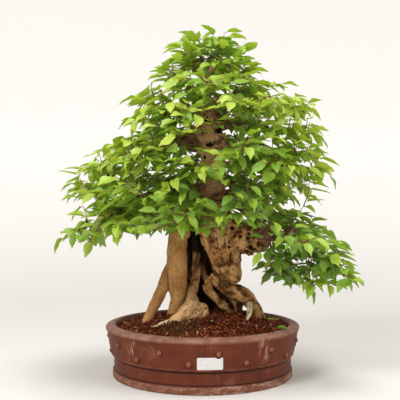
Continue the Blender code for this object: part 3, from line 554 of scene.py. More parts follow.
# Angular grains: twelve corners of an icosahedron pushed in and out, turned at random, on the soil's surface
def makeGranules():
    draws = np.random.default_rng(soil["seed"])
    count, golden = soil["granules"], 0.5 + 0.5 * math.sqrt(5)
    signs = np.array(list(itertools.product((-1, 1), repeat=2)), float)
    plane = np.c_[np.zeros(4), signs[:, 0], golden * signs[:, 1]]
    corners = np.concatenate([np.roll(plane, k, axis=1) for k in range(3)]) / 1.9
    # Its faces are the trios of neighbours, taken in the order that faces outwards
    faces = np.array([trio for trio in itertools.permutations(range(12), 3) if trio[0] == min(trio)])
    a, b, c = (corners[faces[:, k]] for k in range(3))
    near = [np.linalg.norm(one - other, axis=1) < 1.1 for one, other in ((a, b), (b, c), (a, c))]
    faces = faces[np.all([*near, (np.cross(b - a, c - a) * a).sum(axis=1) > 0], axis=0)]
    angle = draws.uniform(0, 2 * np.pi, count)
    away = np.sqrt(draws.uniform(0, 1, count)) * (soil["radius"] - 1.5)
    x, y = away * np.cos(angle), away * np.sin(angle)
    size = draws.uniform(*soil["granuleSize"], count) * np.where(away > soil["radius"] - 5, 0.75, 1.0)
    z = soilHeight(x, y) + draws.uniform(-0.6, 1.1, count)
    turns = np.linalg.qr(draws.normal(size=(count, 3, 3)))[0]
    turns *= np.sign(np.linalg.det(turns))[:, None, None]
    shapes = corners * draws.uniform(0.72, 1.15, (count, 12, 1)) * draws.uniform(0.65, 1.2, (count, 1, 3))
    points = np.einsum("npk,nkj->npj", shapes * size[:, None, None], turns)
    points += np.stack([x, y, z], axis=1)[:, None]
    kind = draws.uniform(0, 1, count)
    # The front edge has more of the orange grains
    front = unit((-y - 105.0) / 40.0) * unit(1 - np.abs(x - 25.0) / 90.0)
    kind = np.where(draws.uniform(0, 1, count) < 0.6 * front, 0.8 + 0.2 * kind, kind)
    return putMesh("soilGranules", points.reshape(-1, 3), [repeatFaces(faces, count, 12)], [finishes["soil"]],
                   smooth=False, values={"kind": np.repeat(kind, 12), "moss": np.repeat(mossAt(x, y), 12)})


settle(makeSoilBed(), "soil_granules", "soil")
settle(makeGranules(), "soil_granules")
print("soil made")


# The old wood: tubes as rows of (x, y, z, radius)

wood = {
    "liveColumn": [(-62, -6, 80, 8), (-59, -6, 104, 8.5), (-53, -5, 120, 11), (-46, -3, 138, 15),
                   (-46, 0, 164, 18), (-48, 1, 205, 20), (-46, 3, 240, 19), (-42, 4, 266, 19),
                   (-24, 4, 294, 23), (4, 3, 320, 26)],
    "upperTrunk": [(4, 3, 308, 26), (17, 2, 345, 26), (20, 0, 385, 23), (13, 0, 430, 19), (8, 0, 465, 16),
                   (10, 0, 484, 14), (6, 2, 512, 10), (10, 0, 542, 8), (7, 0, 566, 6)],
    "deadTrunk": [(6, 3, 322, 25), (16, 0, 296, 33), (29, -2, 272, 36), (37, -4, 238, 32),
                  (47, -6, 213, 25.5), (55, -8, 190, 19), (57, -8, 178, 15)],
    "deadEdge": [(8, -6, 290, 20), (12, -10, 262, 19), (20, -12, 235, 15), (30, -14, 208, 13),
                 (42, -14, 185, 11)],
    "deadBack": [(22, 14, 250, 24), (30, 18, 215, 21), (33, 24, 180, 19), (35, 44, 142, 14),
                 (37, 64, 108, 12), (39, 74, 80, 10)],
    "hollowBack": [(-14, 22, 268, 18), (-16, 26, 220, 17), (-14, 28, 180, 17), (-12, 32, 140, 15),
                   (-8, 37, 104, 12), (-8, 40, 80, 10)],
    "middleBack": [(10, 24, 240, 18), (6, 26, 196, 17), (6, 32, 156, 17), (12, 42, 118, 16),
                   (16, 50, 80, 12)],
    "leftPillar": [(-12, 4, 272, 9), (-13, 4, 232, 8), (-12, 3, 196, 9), (-14, -3, 172, 8),
                   (-19, -14, 154, 9), (-21, -26, 136, 11)],
    "redPillar": [(2, 10, 262, 9), (4, 10, 226, 7), (5, 8, 192, 7.5), (9, 4, 166, 7)],
    "leftRoot": [(-58, 14, 208, 9), (-66, 10, 182, 11), (-81, -4, 144, 11.5), (-97, -20, 113, 9),
                 (-108, -32, 82, 7)],
    "frontRoot": [(-18, -26, 144, 11), (-21, -40, 128, 15), (-36, -54, 113, 15), (-56, -65, 102, 10.5),
                  (-76, -73, 98, 7), (-94, -80, 92, 4.5)],
    "frontLobe": [(0, -26, 131, 9), (-2, -36, 120, 14), (-9, -47, 105, 16), (-13, -52, 80, 14)],
    "outerRoot": [(20, 2, 184, 14), (36, -5, 168, 14), (52, -7, 156, 15), (77, 2, 144, 15.5),
                  (94, 14, 124, 13.5), (105, 22, 106, 12), (112, 26, 80, 10)],
    "barRoot": [(8, -2, 166, 10), (14, -8, 152, 8.5), (34, 0, 130, 7.5), (54, 8, 110, 7.5), (66, 12, 90, 7)],
    "broadRoot": [(50, 6, 152, 13), (60, 14, 134, 13), (66, 22, 112, 12), (70, 26, 80, 11)],
    "paleRoot": [(86, 4, 136, 7), (87, -26, 120, 5), (79, -44, 103, 4.5), (77, -50, 86, 4.5)],
    "paleToe": [(79, -44, 103, 4), (81, -50, 98, 4), (87, -57, 96.5, 3.5), (97, -61, 95, 2.5)],
    "frontToe": [(-56, -65, 102, 9), (-70, -71, 101, 6.5), (-82, -77, 99.5, 3.5), (-88, -80, 98, 2)],
    "sideRoot": [(90, 8, 130, 9), (100, 5, 112, 9), (106, 8, 80, 9)],
    "backRoot": [(-34, 16, 176, 12), (-32, 42, 134, 13), (-31, 62, 104, 11), (-30, 70, 78, 9)],
    "burlArm": [(38, -2, 268, 26), (66, -4, 256, 29), (92, -6, 250, 26), (110, -6, 252, 20),
                (122, -8, 256, 13)],
    "scarArm": [(10, 0, 474, 13), (30, -2, 475, 11), (46, -3, 477, 10)],
}
# Balls as (x, y, z, radius): the arch's knob, the cut knob and the burls
knobs = [(57, -12, 180, 14), (15, -9, 476, 14), (27, -14, 462, 9), (34, -9, 442, 10), (2, -7, 441, 15),
         (35, -8, 425, 9), (78, -19, 242, 14), (100, -18, 262, 12), (104, -12, 240, 12), (60, -26, 256, 11),
         (86, -20, 230, 9), (-34, -8, 262, 13), (26, -26, 264, 15), (48, -20, 230, 13)]
# Tubes that read as one body; a crease runs where two bodies meet, sunk in and painted dark as shade
bodies = [["liveColumn", "upperTrunk"], ["leftRoot"], ["frontRoot", "frontToe", "frontLobe", "leftPillar"],
          ["deadTrunk", "deadEdge", "burlArm"], ["outerRoot", "sideRoot"], ["barRoot"], ["broadRoot"],
          ["paleRoot", "paleToe"], ["redPillar"], ["backRoot"]]
# How alive each tube's surface is, how dark (the ribs' own darker wood, and painted shade in the hollow) and
# how pale (pale bark, and painted light on the upper trunk); a tube that isn't here is plain dead wood
surfaces = {"liveColumn": (1, 0, 0), "upperTrunk": (0.7, 0, 0.6), "leftRoot": (0.85, 0, 0),
            "hollowBack": (0, 1, 0), "middleBack": (0, 1, 0), "leftPillar": (0, 0.32, 0),
            "redPillar": (0, 0.5, 0), "frontToe": (0.25, 0, 0.6), "frontRoot": (0.25, 0, 0.5),
            "frontLobe": (0.15, 0, 0.45), "paleRoot": (0.2, 0, 1), "paleToe": (0.2, 0, 1),
            "backRoot": (0.6, 0, 0), "deadBack": (0, 0.5, 0)}


# The crown's plan, drawn as the solids' own plan is, so that fine leaves grow where the solid leaves are

crown = {
    "seed": 5, "stubLength": 13.0, "gap": 0.3, "limbRadius": 5.2, "limbTipRadius": 1.6, "limbPoints": 5,
    "shootLength": 60.0, "endShootLength": 70.0, "shootHalfWidth": 1.1, "shootTurn": (36, 68),
    "shootRise": (-0.2, 0.35), "neck": 0.035, "armCover": 4.0, "leafLength": (33.0, 41.0),
    "leafSide": [(0.28, 0.28, 0.08), (0.66, 0.21, 0.07)], "leafDroop": (8.0, 68.0), "leafRoll": 42.0,
    "leafYaw": 20, "leafTurn": 58, "apexHeight": 500.0, "apexReach": 120.0, "apexLift": 46.0,
    "clearance": 1.4, "woodClearance": 3.5, "leafTries": 14, "limbTries": 30,
    # azimuth, height on the trunk, reach, height of the tip, arch, number of side shoots
    "branches": [
        (190, 318, 282, 250, 30, 3), (170, 340, 280, 338, 12, 3), (185, 378, 262, 378, 14, 2),
        (168, 424, 196, 430, 8, 2), (188, 452, 150, 470, 6, 2), (172, 486, 138, 520, 4, 1),
        (184, 522, 84, 570, 2, 1), (8, 530, 100, 576, 2, 1), (-10, 506, 156, 541, 4, 2),
        (9, 486, 216, 502, 8, 1), (-7, 450, 220, 440, 12, 1), (11, 415, 224, 405, 12, 1),
        (-5, 384, 234, 370, 14, 3),
        (16, 348, 172, 330, 10, 1), (226, 352, 176, 316, 12, 2), (148, 322, 214, 300, 12, 2),
        (206, 408, 190, 404, 10, 2), (-38, 398, 182, 372, 12, 2), (34, 404, 206, 392, 12, 2),
        (-48, 470, 130, 484, 6, 2), (-66, 420, 142, 398, 10, 2), (-112, 440, 140, 430, 8, 2),
        (-90, 500, 96, 532, 4, 1), (58, 346, 196, 322, 12, 2), (118, 366, 190, 352, 12, 2),
        (88, 410, 172, 410, 10, 2), (46, 456, 146, 470, 6, 1), (134, 476, 136, 500, 6, 1),
        (92, 516, 96, 556, 3, 1)],
    # start point, tip point, arch, number of side shoots
    "armBranches": [
        ((112, -2, 262), (254, 22, 268), 12, 3), ((116, -10, 252), (264, -92, 182), 34, 3),
        ((94, -22, 254), (166, -98, 190), 26, 3), ((8, 0, 546), (-44, -12, 620), 4, 1),
        ((5, 5, 565), (-18, 22, 658), 2, 2), ((10, -3, 560), (48, -14, 652), 3, 2),
        ((9, 0, 538), (88, 16, 614), 5, 1)],
    "lowBranches": [(-63, 322, 165, 285, 12, 2), (-107, 336, 172, 282, 12, 2), (134, 440, 200, 402, 8, 1),
                    (39, 322, 213, 262, 14, 1)],
    "frontBurlBranches": [((84, -24, 264), (180, -165, 250), 16, 1)],
}


# The trunk's centre and radius at a height, between the rows of its tube
def trunkAt(height):
    table = np.array(wood["upperTrunk"], float).T
    *centre, radius = (float(np.interp(height, table[2], row)) for row in table)
    return Vector(centre), radius


def lift(height):
    return Vector((0, 0, height))


# A heading turned about Z by degrees
def turned(heading, degrees):
    return Matrix.Rotation(math.radians(degrees), 3, "Z") @ heading


def spoke(azimuth):
    angle = math.radians(azimuth)
    return Vector((math.cos(angle), math.sin(angle), 0.0))


# A branch is its root, the stub's direction, how far wood covers the stub, its tip, arch and side shoots
def trunkBranch(azimuth, height, reach, tipHeight, arch, shoots):
    centre, radius = trunkAt(height)
    out = (spoke(azimuth) + lift(0.25)).normalized()
    tip = Vector((centre.x, centre.y, 0.0)) + spoke(azimuth) * reach
    return centre + out * radius * 0.4, out, radius * 0.6, Vector((tip.x, tip.y, tipHeight)), arch, shoots


def armBranch(start, tip, arch, shoots):
    start, tip = Vector(start), Vector(tip)
    out = (tip - start).normalized()
    if abs(out.z) < 0.95:
        out = Vector((out.x, out.y, max(out.z, 0.0) * 0.5)).normalized()
    return start, out, crown["armCover"], tip, arch, shoots


def stubEnd(root, out, cover, gap=0.0):
    return root + out * (cover + crown["stubLength"] + gap)


# Straight out of the stub, then a sine arch upwards and a sine sway to the side
def limbLine(start, out, tip, arch, draws):
    points = [start, start + out * 9.0]
    run = tip - points[1]
    across = run.cross(lift(1)).normalized()
    sway, turn = draws.uniform(-9.0, 9.0), draws.uniform(0.0, math.pi)
    for index in range(1, crown["limbPoints"] - 1):
        share = index / (crown["limbPoints"] - 2)
        place = points[1] + run * share + lift(arch * math.sin(math.pi * share))
        place += across * sway * math.sin(math.pi * share) * math.sin(2.0 * math.pi * share + turn)
        points.append(place)
    return points


# The place and direction at a share of a line's length
def along(points, share):
    steps = [(a, b, (b - a).length) for a, b in zip(points, points[1:])]
    left = share * sum(length for _, _, length in steps)
    for a, b, length in steps:
        if left <= length or b is points[-1]:
            return a + (b - a) * min(1.0, left / length), (b - a).normalized()
        left -= length


# A three-sided tube for testing clearance
def prism(points, radii):
    vertices, triangles = [], []
    for index, (place, radius) in enumerate(zip(points, radii)):
        heading = points[min(index + 1, len(points) - 1)] - points[max(index - 1, 0)]
        side = heading.orthogonal().normalized()
        for corner in range(3):
            turn = Matrix.Rotation(corner * 2.0 * math.pi / 3.0, 3, heading)
            vertices.append(place + turn @ side * radius * 1.5)
            a, b = 3 * index + corner, 3 * index + (corner + 1) % 3
            triangles += [(a, b, b + 3), (a, b + 3, a + 3)]
    return vertices, triangles[:-6]


# A frame with X along the leaf, turned down by droop, and Z up off its upper face
def leafFrame(place, heading, droop, roll):
    flat = Vector((heading.x, heading.y, 0.0)).normalized()
    ahead = flat * math.cos(droop) - lift(math.sin(droop))
    left = lift(1).cross(flat)
    up = ahead.cross(left)
    turn = Matrix.Rotation(roll, 3, ahead)
    axes = Matrix((ahead, turn @ left, turn @ up)).transposed()
    return Matrix.Translation(place) @ axes.to_4x4()


# How far up the apex a place is
def upApex(place):
    return max(0.0, min(1.0, (place.z - crown["apexHeight"]) / crown["apexReach"]))


# Whether a point is outside every tube of old wood, with room to spare
def clearOfWood(place):
    for rows in wood.values():
        for low, high in zip(rows, rows[1:]):
            a, b = Vector(low[:3]), Vector(high[:3])
            share = max(0.0, min(1.0, (place - a).dot(b - a) / (b - a).length_squared))
            radius = low[3] + (high[3] - low[3]) * share
            if (place - a - (b - a) * share).length < radius + crown["woodClearance"]:
                return False
    return True


# What is already placed, to keep each new twig and leaf clear of the others
class Space:
    def __init__(self):
        self.taken = []

    def entry(self, stem, vertices, triangles):
        middle = sum(vertices, Vector()) / len(vertices)
        size = max((vertex - middle).length for vertex in vertices)
        return stem, BVHTree.FromPolygons(vertices, triangles), middle, size

    def add(self, *shape):
        self.taken.append(self.entry(*shape))

    def free(self, stem, vertices, triangles):
        _, tree, middle, size = self.entry(stem, vertices, triangles)
        for other, otherTree, otherMiddle, otherSize in self.taken:
            near = (middle - otherMiddle).length < size + otherSize
            if near and other != stem and tree.overlap(otherTree):
                return False
        return all(clearOfWood(vertex) for vertex in [*vertices, middle])


# The first of some random turns of a leaf that is clear of the rest, tested as a thin shell of its rim
def tryLeaf(space, stem, place, heading, draws):
    length = draws.uniform(*crown["leafLength"])
    right, left = [[(share, side * half, up) for share, half, up in crown["leafSide"]] for side in (-1, 1)]
    for _ in range(crown["leafTries"]):
        droop = math.radians(draws.uniform(*crown["leafDroop"]) - crown["apexLift"] * upApex(place))
        roll = math.radians(draws.uniform(-crown["leafRoll"], crown["leafRoll"]))
        yaw = draws.uniform(-crown["leafYaw"], crown["leafYaw"])
        put = leafFrame(place, turned(heading, yaw), droop, roll)
        points = [place] + [put @ (Vector(point) * length) for point in [*right, (1, 0, 0), *left[::-1]]]
        up = put.to_3x3() @ lift(crown["clearance"])
        count = len(points)
        half = [(0, index, index + 1) for index in range(1, count - 1)]
        hull = [point + up for point in points] + [point - up for point in points]
        triangles = half + [tuple(corner + count for corner in face) for face in half]
        triangles += [(index, (index + 1) % count, index + count) for index in range(count)]
        if space.free(stem, hull, triangles):
            space.add("leaf", hull, triangles)
            return put, length


# A branch's limb with its radii, and its shoots: one at the end, and others to both sides in turn
def planBranch(space, owner, ends, draws):
    root, out, cover, tip, arch, shootCount = ends
    start = stubEnd(root, out, cover, crown["gap"])
    scale = min(1.0, 0.45 + (tip - start).length / 320.0)
    endLength = crown["endShootLength"] * scale
    limbEnd = tip + (start - tip).normalized() * (endLength + 0.6 * crown["leafLength"][0])
    thin, thick, half = crown["limbTipRadius"], crown["limbRadius"], [crown["shootHalfWidth"]] * 3
    last = crown["limbPoints"] - 1
    radii = [max(thin, scale * (thick + (thin - thick) * index / last)) for index in range(last + 1)]
    for attempt in range(crown["limbTries"]):
        limb = limbLine(start, out, limbEnd, arch + draws.uniform(-2.5, 2.5) * attempt, draws)
        base = limbEnd - (limb[-1] - limb[-2]).normalized() * 1.5
        reach = (tip - base).normalized() * endLength
        shoots = [(base, base + reach * 0.5 + lift(0.06 * reach.length), base + reach)]
        test = prism([limbEnd, *shoots[0][1:]], half)
        if space.free(None, *prism(limb[2:], radii[2:])) and space.free(None, *test):
            break
    space.add((owner, 0), *prism(limb, radii))
    space.add((owner, 1), *test)
    side = draws.choice((-1, 1))
    for index in range(shootCount):
        side = -side
        base, heading = along(limb, 0.34 + 0.58 * index / max(1, shootCount - 1) if shootCount > 1 else 0.7)
        for _ in range(crown["leafTries"]):
            aim = turned(heading, side * draws.uniform(*crown["shootTurn"]))
            aim = (aim + lift(draws.uniform(*crown["shootRise"]))).normalized()
            length = crown["shootLength"] * scale * draws.uniform(0.85, 1.15)
            shoot = (base, base + aim * length * 0.55, base + aim * length + lift(-0.1 * length))
            test = prism([base + aim * 4.0, *shoot[1:]], half)
            if space.free((owner, 0), *test):
                space.add((owner, len(shoots) + 1), *test)
                shoots.append(shoot)
                break
    return limb, radii, shoots


# Two leaves to the sides of each shoot and one at its tip
def planLeaves(space, owner, shoots, draws):
    planned = []
    for number, line in enumerate(shoots):
        side = 1 if (number + owner) % 2 else -1
        first, second = (share + crown["neck"] / 2 for share in ((0.46, 0.73) if number else (0.36, 0.68)))
        for share, turn in ((first, -side), (second, side), (1.0, 0)):
            place, heading = along(line, share)
            heading = turned(heading, turn * crown["leafTurn"])
            planned.append(tryLeaf(space, (owner, number + 1), place, heading, draws))
    return [found for found in planned if found]


space = Space()
tables = ((trunkBranch, "branches"), (armBranch, "armBranches"), (trunkBranch, "lowBranches"),
          (armBranch, "frontBurlBranches"))
ends = [branch(*row) for branch, table in tables for row in crown[table]]
for root, out, cover, *_ in ends:
    stub = [root, stubEnd(root, out, cover, crown["gap"])]
    space.add("stub", *prism(stub, [1.5 * crown["limbRadius"], crown["limbRadius"]]))
branchDraws = [random.Random(crown["seed"] * 1000 + index) for index in range(len(ends))]
limbs = [planBranch(space, index, ends[index], draws) for index, draws in enumerate(branchDraws)]
solidLeaves = [planLeaves(space, index, limbs[index][2], draws) for index, draws in enumerate(branchDraws)]
print("crown planned:", sum(len(group) for group in solidLeaves), "leaves at the solid ones' places")


# The wood's surface

skin = {
    "voxel": 1.75, "softenings": 2, "bulk": 3.2, "bulkSize": 24.0, "deadGrooves": 2.3, "liveGrooves": 0.4,
    "grainAcross": 9.0, "grainAlong": 70.0, "crack": 0.11, "lumps": 2.4, "lumpSize": 9.0, "fibre": 1.6,
    "blend": 3.0, "crease": 2.6, "creaseDepth": 2.2, "pits": 165, "seed": 3, "fade": 5.0, "backAt": 41.0,
    # Deep cavities on the upper trunk's front, each as (x, z, size)
    "cavities": [(8, 425, 5), (15, 426, 7), (23, 429, 5.5), (27, 451, 5), (34, 453, 6.5), (42, 453, 5),
                 (33, 472, 4), (42, 476, 3.5), (52, 470, 4), (24, 464, 3), (3, 402, 4), (-2, 447, 3)],
    # Slits in the hollow and under the arch, as tubes, painted dark as shade
    "shade": [[(-26, 6, 262, 9), (-24, 5, 220, 6), (-25, 5, 180, 5), (-29, 4, 152, 5), (-38, 8, 126, 8)],
              [(-6, 4, 268, 10), (-2, 5, 236, 6), (3, 5, 210, 5), (12, 6, 190, 5)],
              [(-12, 2, 270, 16), (-12, 4, 232, 9)],
              [(-8, 22, 250, 16), (-4, 24, 200, 14), (-2, 20, 168, 12), (0, 6, 146, 14)],
              [(-2, 8, 150, 15), (10, 14, 140, 16), (26, 20, 126, 14), (44, 26, 112, 12)],
              [(26, 10, 150, 10), (40, 12, 140, 10), (50, 12, 122, 9)], [(76, 24, 124, 9), (88, 28, 104, 9)],
              [(14, 4, 186, 5), (32, -6, 178, 4), (48, -8, 168, 4), (66, -4, 163, 3)]]}


# For each point: distance outside a tube, the distance along it, and the offset from its axis
def readTube(rows, points):
    table = np.asarray(rows, float)
    steps = np.linalg.norm(np.diff(table[:, :3], axis=0), axis=1)
    before = np.concatenate([[0.0], np.cumsum(steps)])
    best, run, offset = np.full(len(points), 1e9), np.zeros(len(points)), np.zeros((len(points), 3))
    for index, step in enumerate(steps):
        a, b = table[index], table[index + 1]
        axis = (b - a)[:3]
        share = unit((points - a[:3]) @ axis / step**2)
        away = points - a[:3] - share[:, None] * axis
        gap = np.linalg.norm(away, axis=1) - (a[3] + (b[3] - a[3]) * share)
        closer = gap < best
        best = np.where(closer, gap, best)
        run = np.where(closer, before[index] + share * step, run)
        offset = np.where(closer[:, None], away, offset)
    return best, run, offset


# Tubes, stubs and balls grown into one skin by a voxel remesh: its points, normals and faces
def growSkin():
    tubes = [(smoothPath(rows, 8 * len(rows)), 20) for rows in wood.values()]
    for (root, out, cover, *_), (_, radii, _) in zip(ends, limbs):
        stub = np.array([root, stubEnd(root, out, cover)])
        tubes.append((np.column_stack([stub, (radii[0] * 1.5, radii[0] * 1.02)]), 10))
    turn = np.linspace(0, np.pi, 11)
    for x, y, z, radius in knobs:
        ball = [0 * turn + x, 0 * turn + y, z - radius * np.cos(turn), radius * np.sin(turn) + 0.01]
        tubes.append((np.stack(ball, axis=1), 18))
    points, faces = joined([tubeGrids(rows[None, :, :3], rows[None, :, 3], sides) for rows, sides in tubes])
    rough = putMesh("woodTubes", points, faces, [])
    remesh = rough.modifiers.new("Skin", "REMESH")
    remesh.mode, remesh.voxel_size = "VOXEL", skin["voxel"] * mm
    rough.modifiers.new("Soften", "SMOOTH").iterations = skin["softenings"]
    mesh = bpy.data.meshes.new_from_object(rough.evaluated_get(bpy.context.evaluated_depsgraph_get()))
    bpy.data.objects.remove(rough)
    arrays = []
    fields = ((mesh.vertices, "co", 3), (mesh.vertices, "normal", 3), (mesh.loops, "vertex_index", 1))
    for items, key, width in fields:
        arrays.append(np.zeros(len(items) * width, np.float32 if width == 3 else np.int32))
        items.foreach_get(key, arrays[-1])
    points, normals = (array.reshape(-1, 3).astype(float) for array in arrays[:2])
    return points / mm, normals, arrays[2].reshape(-1, 4)


# The skin moved along its normals by lumps, grain, cracks, creases, pits and cavities
def makeWood():
    points, normals, corners = growSkin()
    x, y, z = points.T
    found = [readTube(rows, points) for rows in wood.values()]
    gaps = np.stack([gap for gap, _, _ in found])
    weights = np.exp(-(gaps - gaps.min(axis=0)) / skin["blend"])
    weights /= weights.sum(axis=0)
    live, darkWoodAndShade, paleAndLit = np.array([surfaces.get(name, (0, 0, 0)) for name in wood], float).T @ weights
    nearest, count = gaps.argmin(axis=0), np.arange(len(points))
    run, offset = (np.stack([entry[k] for entry in found])[nearest, count] for k in (1, 2))
    flow = offset / skin["grainAcross"] + (run / skin["grainAlong"])[:, None] * np.array([0.6, 0.5, 0.62])
    flow += nearest[:, None] * 3.7
    # The front root's far end is pale
    paleAndLit = np.maximum(paleAndLit, unit((-38.0 - x) / 30.0) * unit((-52.0 - y) / 10.0))
    fibres = clouds(flow, 1.0, 3, 5)
    groove = (1.0 - unit(np.abs(fibres) / skin["crack"])) * unit(0.5 + 2.2 * clouds(points, 20.0, 2, 17))
    groove *= 1.0 - live * 0.8
    names = list(wood)
    nearBodies = np.sort([gaps[[names.index(name) for name in body]].min(axis=0) for body in bodies], axis=0)
    crease = 1.0 - unit((nearBodies[1] - nearBodies[0]) / skin["crease"])
    crease *= unit(1.6 - nearBodies[1] / 6.0)
    # The slits are painted dark as shade, and the hollow's painted darkness shows from the front only
    for line in skin["shade"]:
        darkWoodAndShade = np.maximum(darkWoodAndShade, unit(1.0 - readTube(line, points)[0] / skin["fade"]))
    darkWoodAndShade *= unit((skin["backAt"] - y) / 10.0)    # bark closes the hollow's back
    swell = clouds(points, skin["lumpSize"], 3, 12)
    # How far the surface stands out, for painted light on the ridges and painted shade in the dips
    reliefShade = swell * (1.0 - 0.65 * live) + 0.5 * fibres * (1.0 - live)
    move = skin["bulk"] * 0.5 * clouds(points, skin["bulkSize"], 2, 9)
    move += skin["lumps"] * swell * (1.0 - 0.75 * live) + skin["fibre"] * fibres * (1.0 - 0.8 * live)
    depth = skin["deadGrooves"] + (skin["liveGrooves"] - skin["deadGrooves"]) * live
    move -= depth * groove + skin["creaseDepth"] * crease

    # Round pits in the burl, the cut knob and the dead trunk's right side, then the cavities: each is its
    # distance in sizes, its size, its rim's height and place, and where it may be
    burl, scar, dead = (names.index(name) for name in ("burlArm", "scarArm", "deadTrunk"))
    inScar = (weights[scar] > 0.3) | (np.linalg.norm(points - np.array(knobs[1][:3]), axis=1) < 22)
    inTrunk = (gaps[dead] < 4) & (x > 40) & (z > 215)
    places = np.flatnonzero((weights[burl] > 0.4) & (x > 40) | inScar | inTrunk)
    draws = np.random.default_rng(skin["seed"])

    def holes():
        for centre in points[draws.choice(places, skin["pits"])]:
            size = 1.8 + 4.4 * draws.uniform()**1.6
            yield np.linalg.norm(points - centre, axis=1) / size, size, 0.34, 1.35, 1.0
        for middle, height, size in skin["cavities"]:
            yield np.hypot(x - middle, z - height) / size, size, 0.25, 1.4, y < -4.0

    pit = np.zeros(len(points))
    for away, size, rim, rimAt, where in holes():
        hole = np.exp(-away**2 * 1.4) * where
        move += rim * size * np.exp(-(away - rimAt)**2 * 7.0) * where - 0.9 * size * hole
        pit = np.maximum(pit, hole)
    values = {"flow": flow, "live": live, "darkWoodAndShade": darkWoodAndShade, "paleAndLit": paleAndLit, "pit": pit,
              "groove": np.maximum(groove, crease), "reliefShade": 0.5 + 0.5 * reliefShade}
    return putMesh("oldWood", points + normals * move[:, None], [corners], [finishes["wood"]], values=values)


settle(makeWood(), "bark", "trunk")
print("old wood made")


# Leaves and twigs

leaf = {"rows": 12, "across": (-1.0, -0.5, 0.0, 0.5, 1.0), "width": 0.62, "teeth": 0.05, "variants": 16,
        "petiole": 3.5, "seed": 71, "fold": (0.2, 0.8), "bend": (-0.05, 0.34), "wave": (-0.05, 0.05),
        "twist": (-0.55, 0.55), "wide": (0.86, 1.1), "sweep": (-0.09, 0.09)}
camera = {"place": (-4.7, -1400.0, 326.0), "tilt": 89.88, "lens": 67.32}
# The crown as seen from the front: its outline in (x, z), and the openings where the trunk shows, each
# as (x, z, half width, half height). Twigs grow from the limbs to targets spread evenly inside. The pad is
# the low right of the crown.
spray = {
    "outline": [(-32, 628), (-54, 602), (-72, 566), (-120, 524), (-136, 478), (-150, 440), (-198, 412),
                (-236, 372), (-244, 334), (-214, 306), (-236, 268), (-250, 256), (-150, 250), (-96, 256),
                (-62, 268), (-20, 262), (20, 296), (70, 300), (104, 292), (112, 240), (122, 190), (170, 172),
                (236, 174), (272, 168), (262, 212), (236, 262), (166, 308), (160, 336), (206, 356),
                (222, 384), (212, 436), (204, 492), (176, 520), (118, 546), (94, 580), (72, 610), (36, 630)],
    "openings": [(26, 452, 36, 40), (22, 344, 30, 18), (97, 247, 33, 25), (-32, 432, 28, 13)],
    "spacing": 26.5, "apexSpacing": 19.0, "padSpacing": 24.0, "padEnd": 256.0, "padDepth": 62.0,
    "apexShare": 0.45, "candidates": 14000, "depthShare": 0.84, "depthLimit": 150.0, "middle": 10.0,
    "core": 0.4, "coreShare": 0.35, "inwardCost": 1.4, "downCost": 0.9, "leafSpacing": 12.5, "outward": 0.18,
    "leafLength": (33.0, 43.0), "droop": (-14.0, 36.0), "roll": 26.0, "lean": (0.0, 44.0),
    "turn": (38, 72), "baseSteps": 14, "leafyLength": 60.0, "flatten": 0.35, "twigRadius": 1.15,
    "twigTip": 0.5, "seed": 29}


# Leaf blades over u across and v along: x is along, and the half width is v to 0.58 times (1 - v) to 0.82,
# drawn in near the tip, with a toothed rim. Height is a fold that lifts both sides, a ripple and a twist,
# less a bend that grows with v squared.
def leafShapes():
    draws = np.random.default_rng(leaf["seed"])
    v = (np.linspace(0, 1, leaf["rows"])**0.9)[None, :, None]
    u = np.array(leaf["across"])[None, None, :]
    fold, bend, wave, twist, wide, sweep = (draws.uniform(*leaf[key], leaf["variants"])[:, None, None]
                                            for key in ("fold", "bend", "wave", "twist", "wide", "sweep"))
    half = v**0.58 * (1 - v)**0.82 * (1 - 0.42 * np.exp(-((v - 0.86) / 0.13)**2)) * leaf["width"] * wide
    inOut = np.where(np.arange(leaf["rows"]) % 2, 1, -1)[None, :, None]
    teeth = 1 + leaf["teeth"] * inOut * (np.abs(u) > 0.9)
    y = u * half * teeth + sweep * v**2
    z = fold * np.abs(u * half) + wave * np.sin(9.0 * v) * u**2 - bend * v**2 * 0.8 + twist * y * v
    x = v * (1 - 0.25 * np.abs(bend) * v)
    shapes = np.stack(np.broadcast_arrays(x, y, z), axis=-1)
    grid = np.stack(np.broadcast_arrays(0.5 + 0.5 * u, v), axis=-1)
    return shapes.reshape(leaf["variants"], -1, 3), grid.reshape(-1, 2)


leafForms, leafGrid = leafShapes()


# Whether points of the front view are inside the outline: the count of edges crossed to their right is odd
def insideOutline(x, z):
    edges = np.asarray(spray["outline"], float)
    inside = np.zeros(len(x), bool)
    for (x0, z0), (x1, z1) in zip(edges, np.roll(edges, -1, axis=0)):
        crosses = (z0 > z) != (z1 > z)
        inside ^= crosses & (x < x0 + (z - z0) / (z1 - z0 + 1e-9) * (x1 - x0))
    return inside


# Left and right edge of the outline at heights
def edgesAt(heights):
    x = np.arange(-300.0, 301.0, 6.0)
    hit = insideOutline(np.tile(x, len(heights)), np.repeat(heights, len(x))).reshape(len(heights), -1)
    return x[hit.argmax(axis=1)], x[::-1][hit[:, ::-1].argmax(axis=1)]


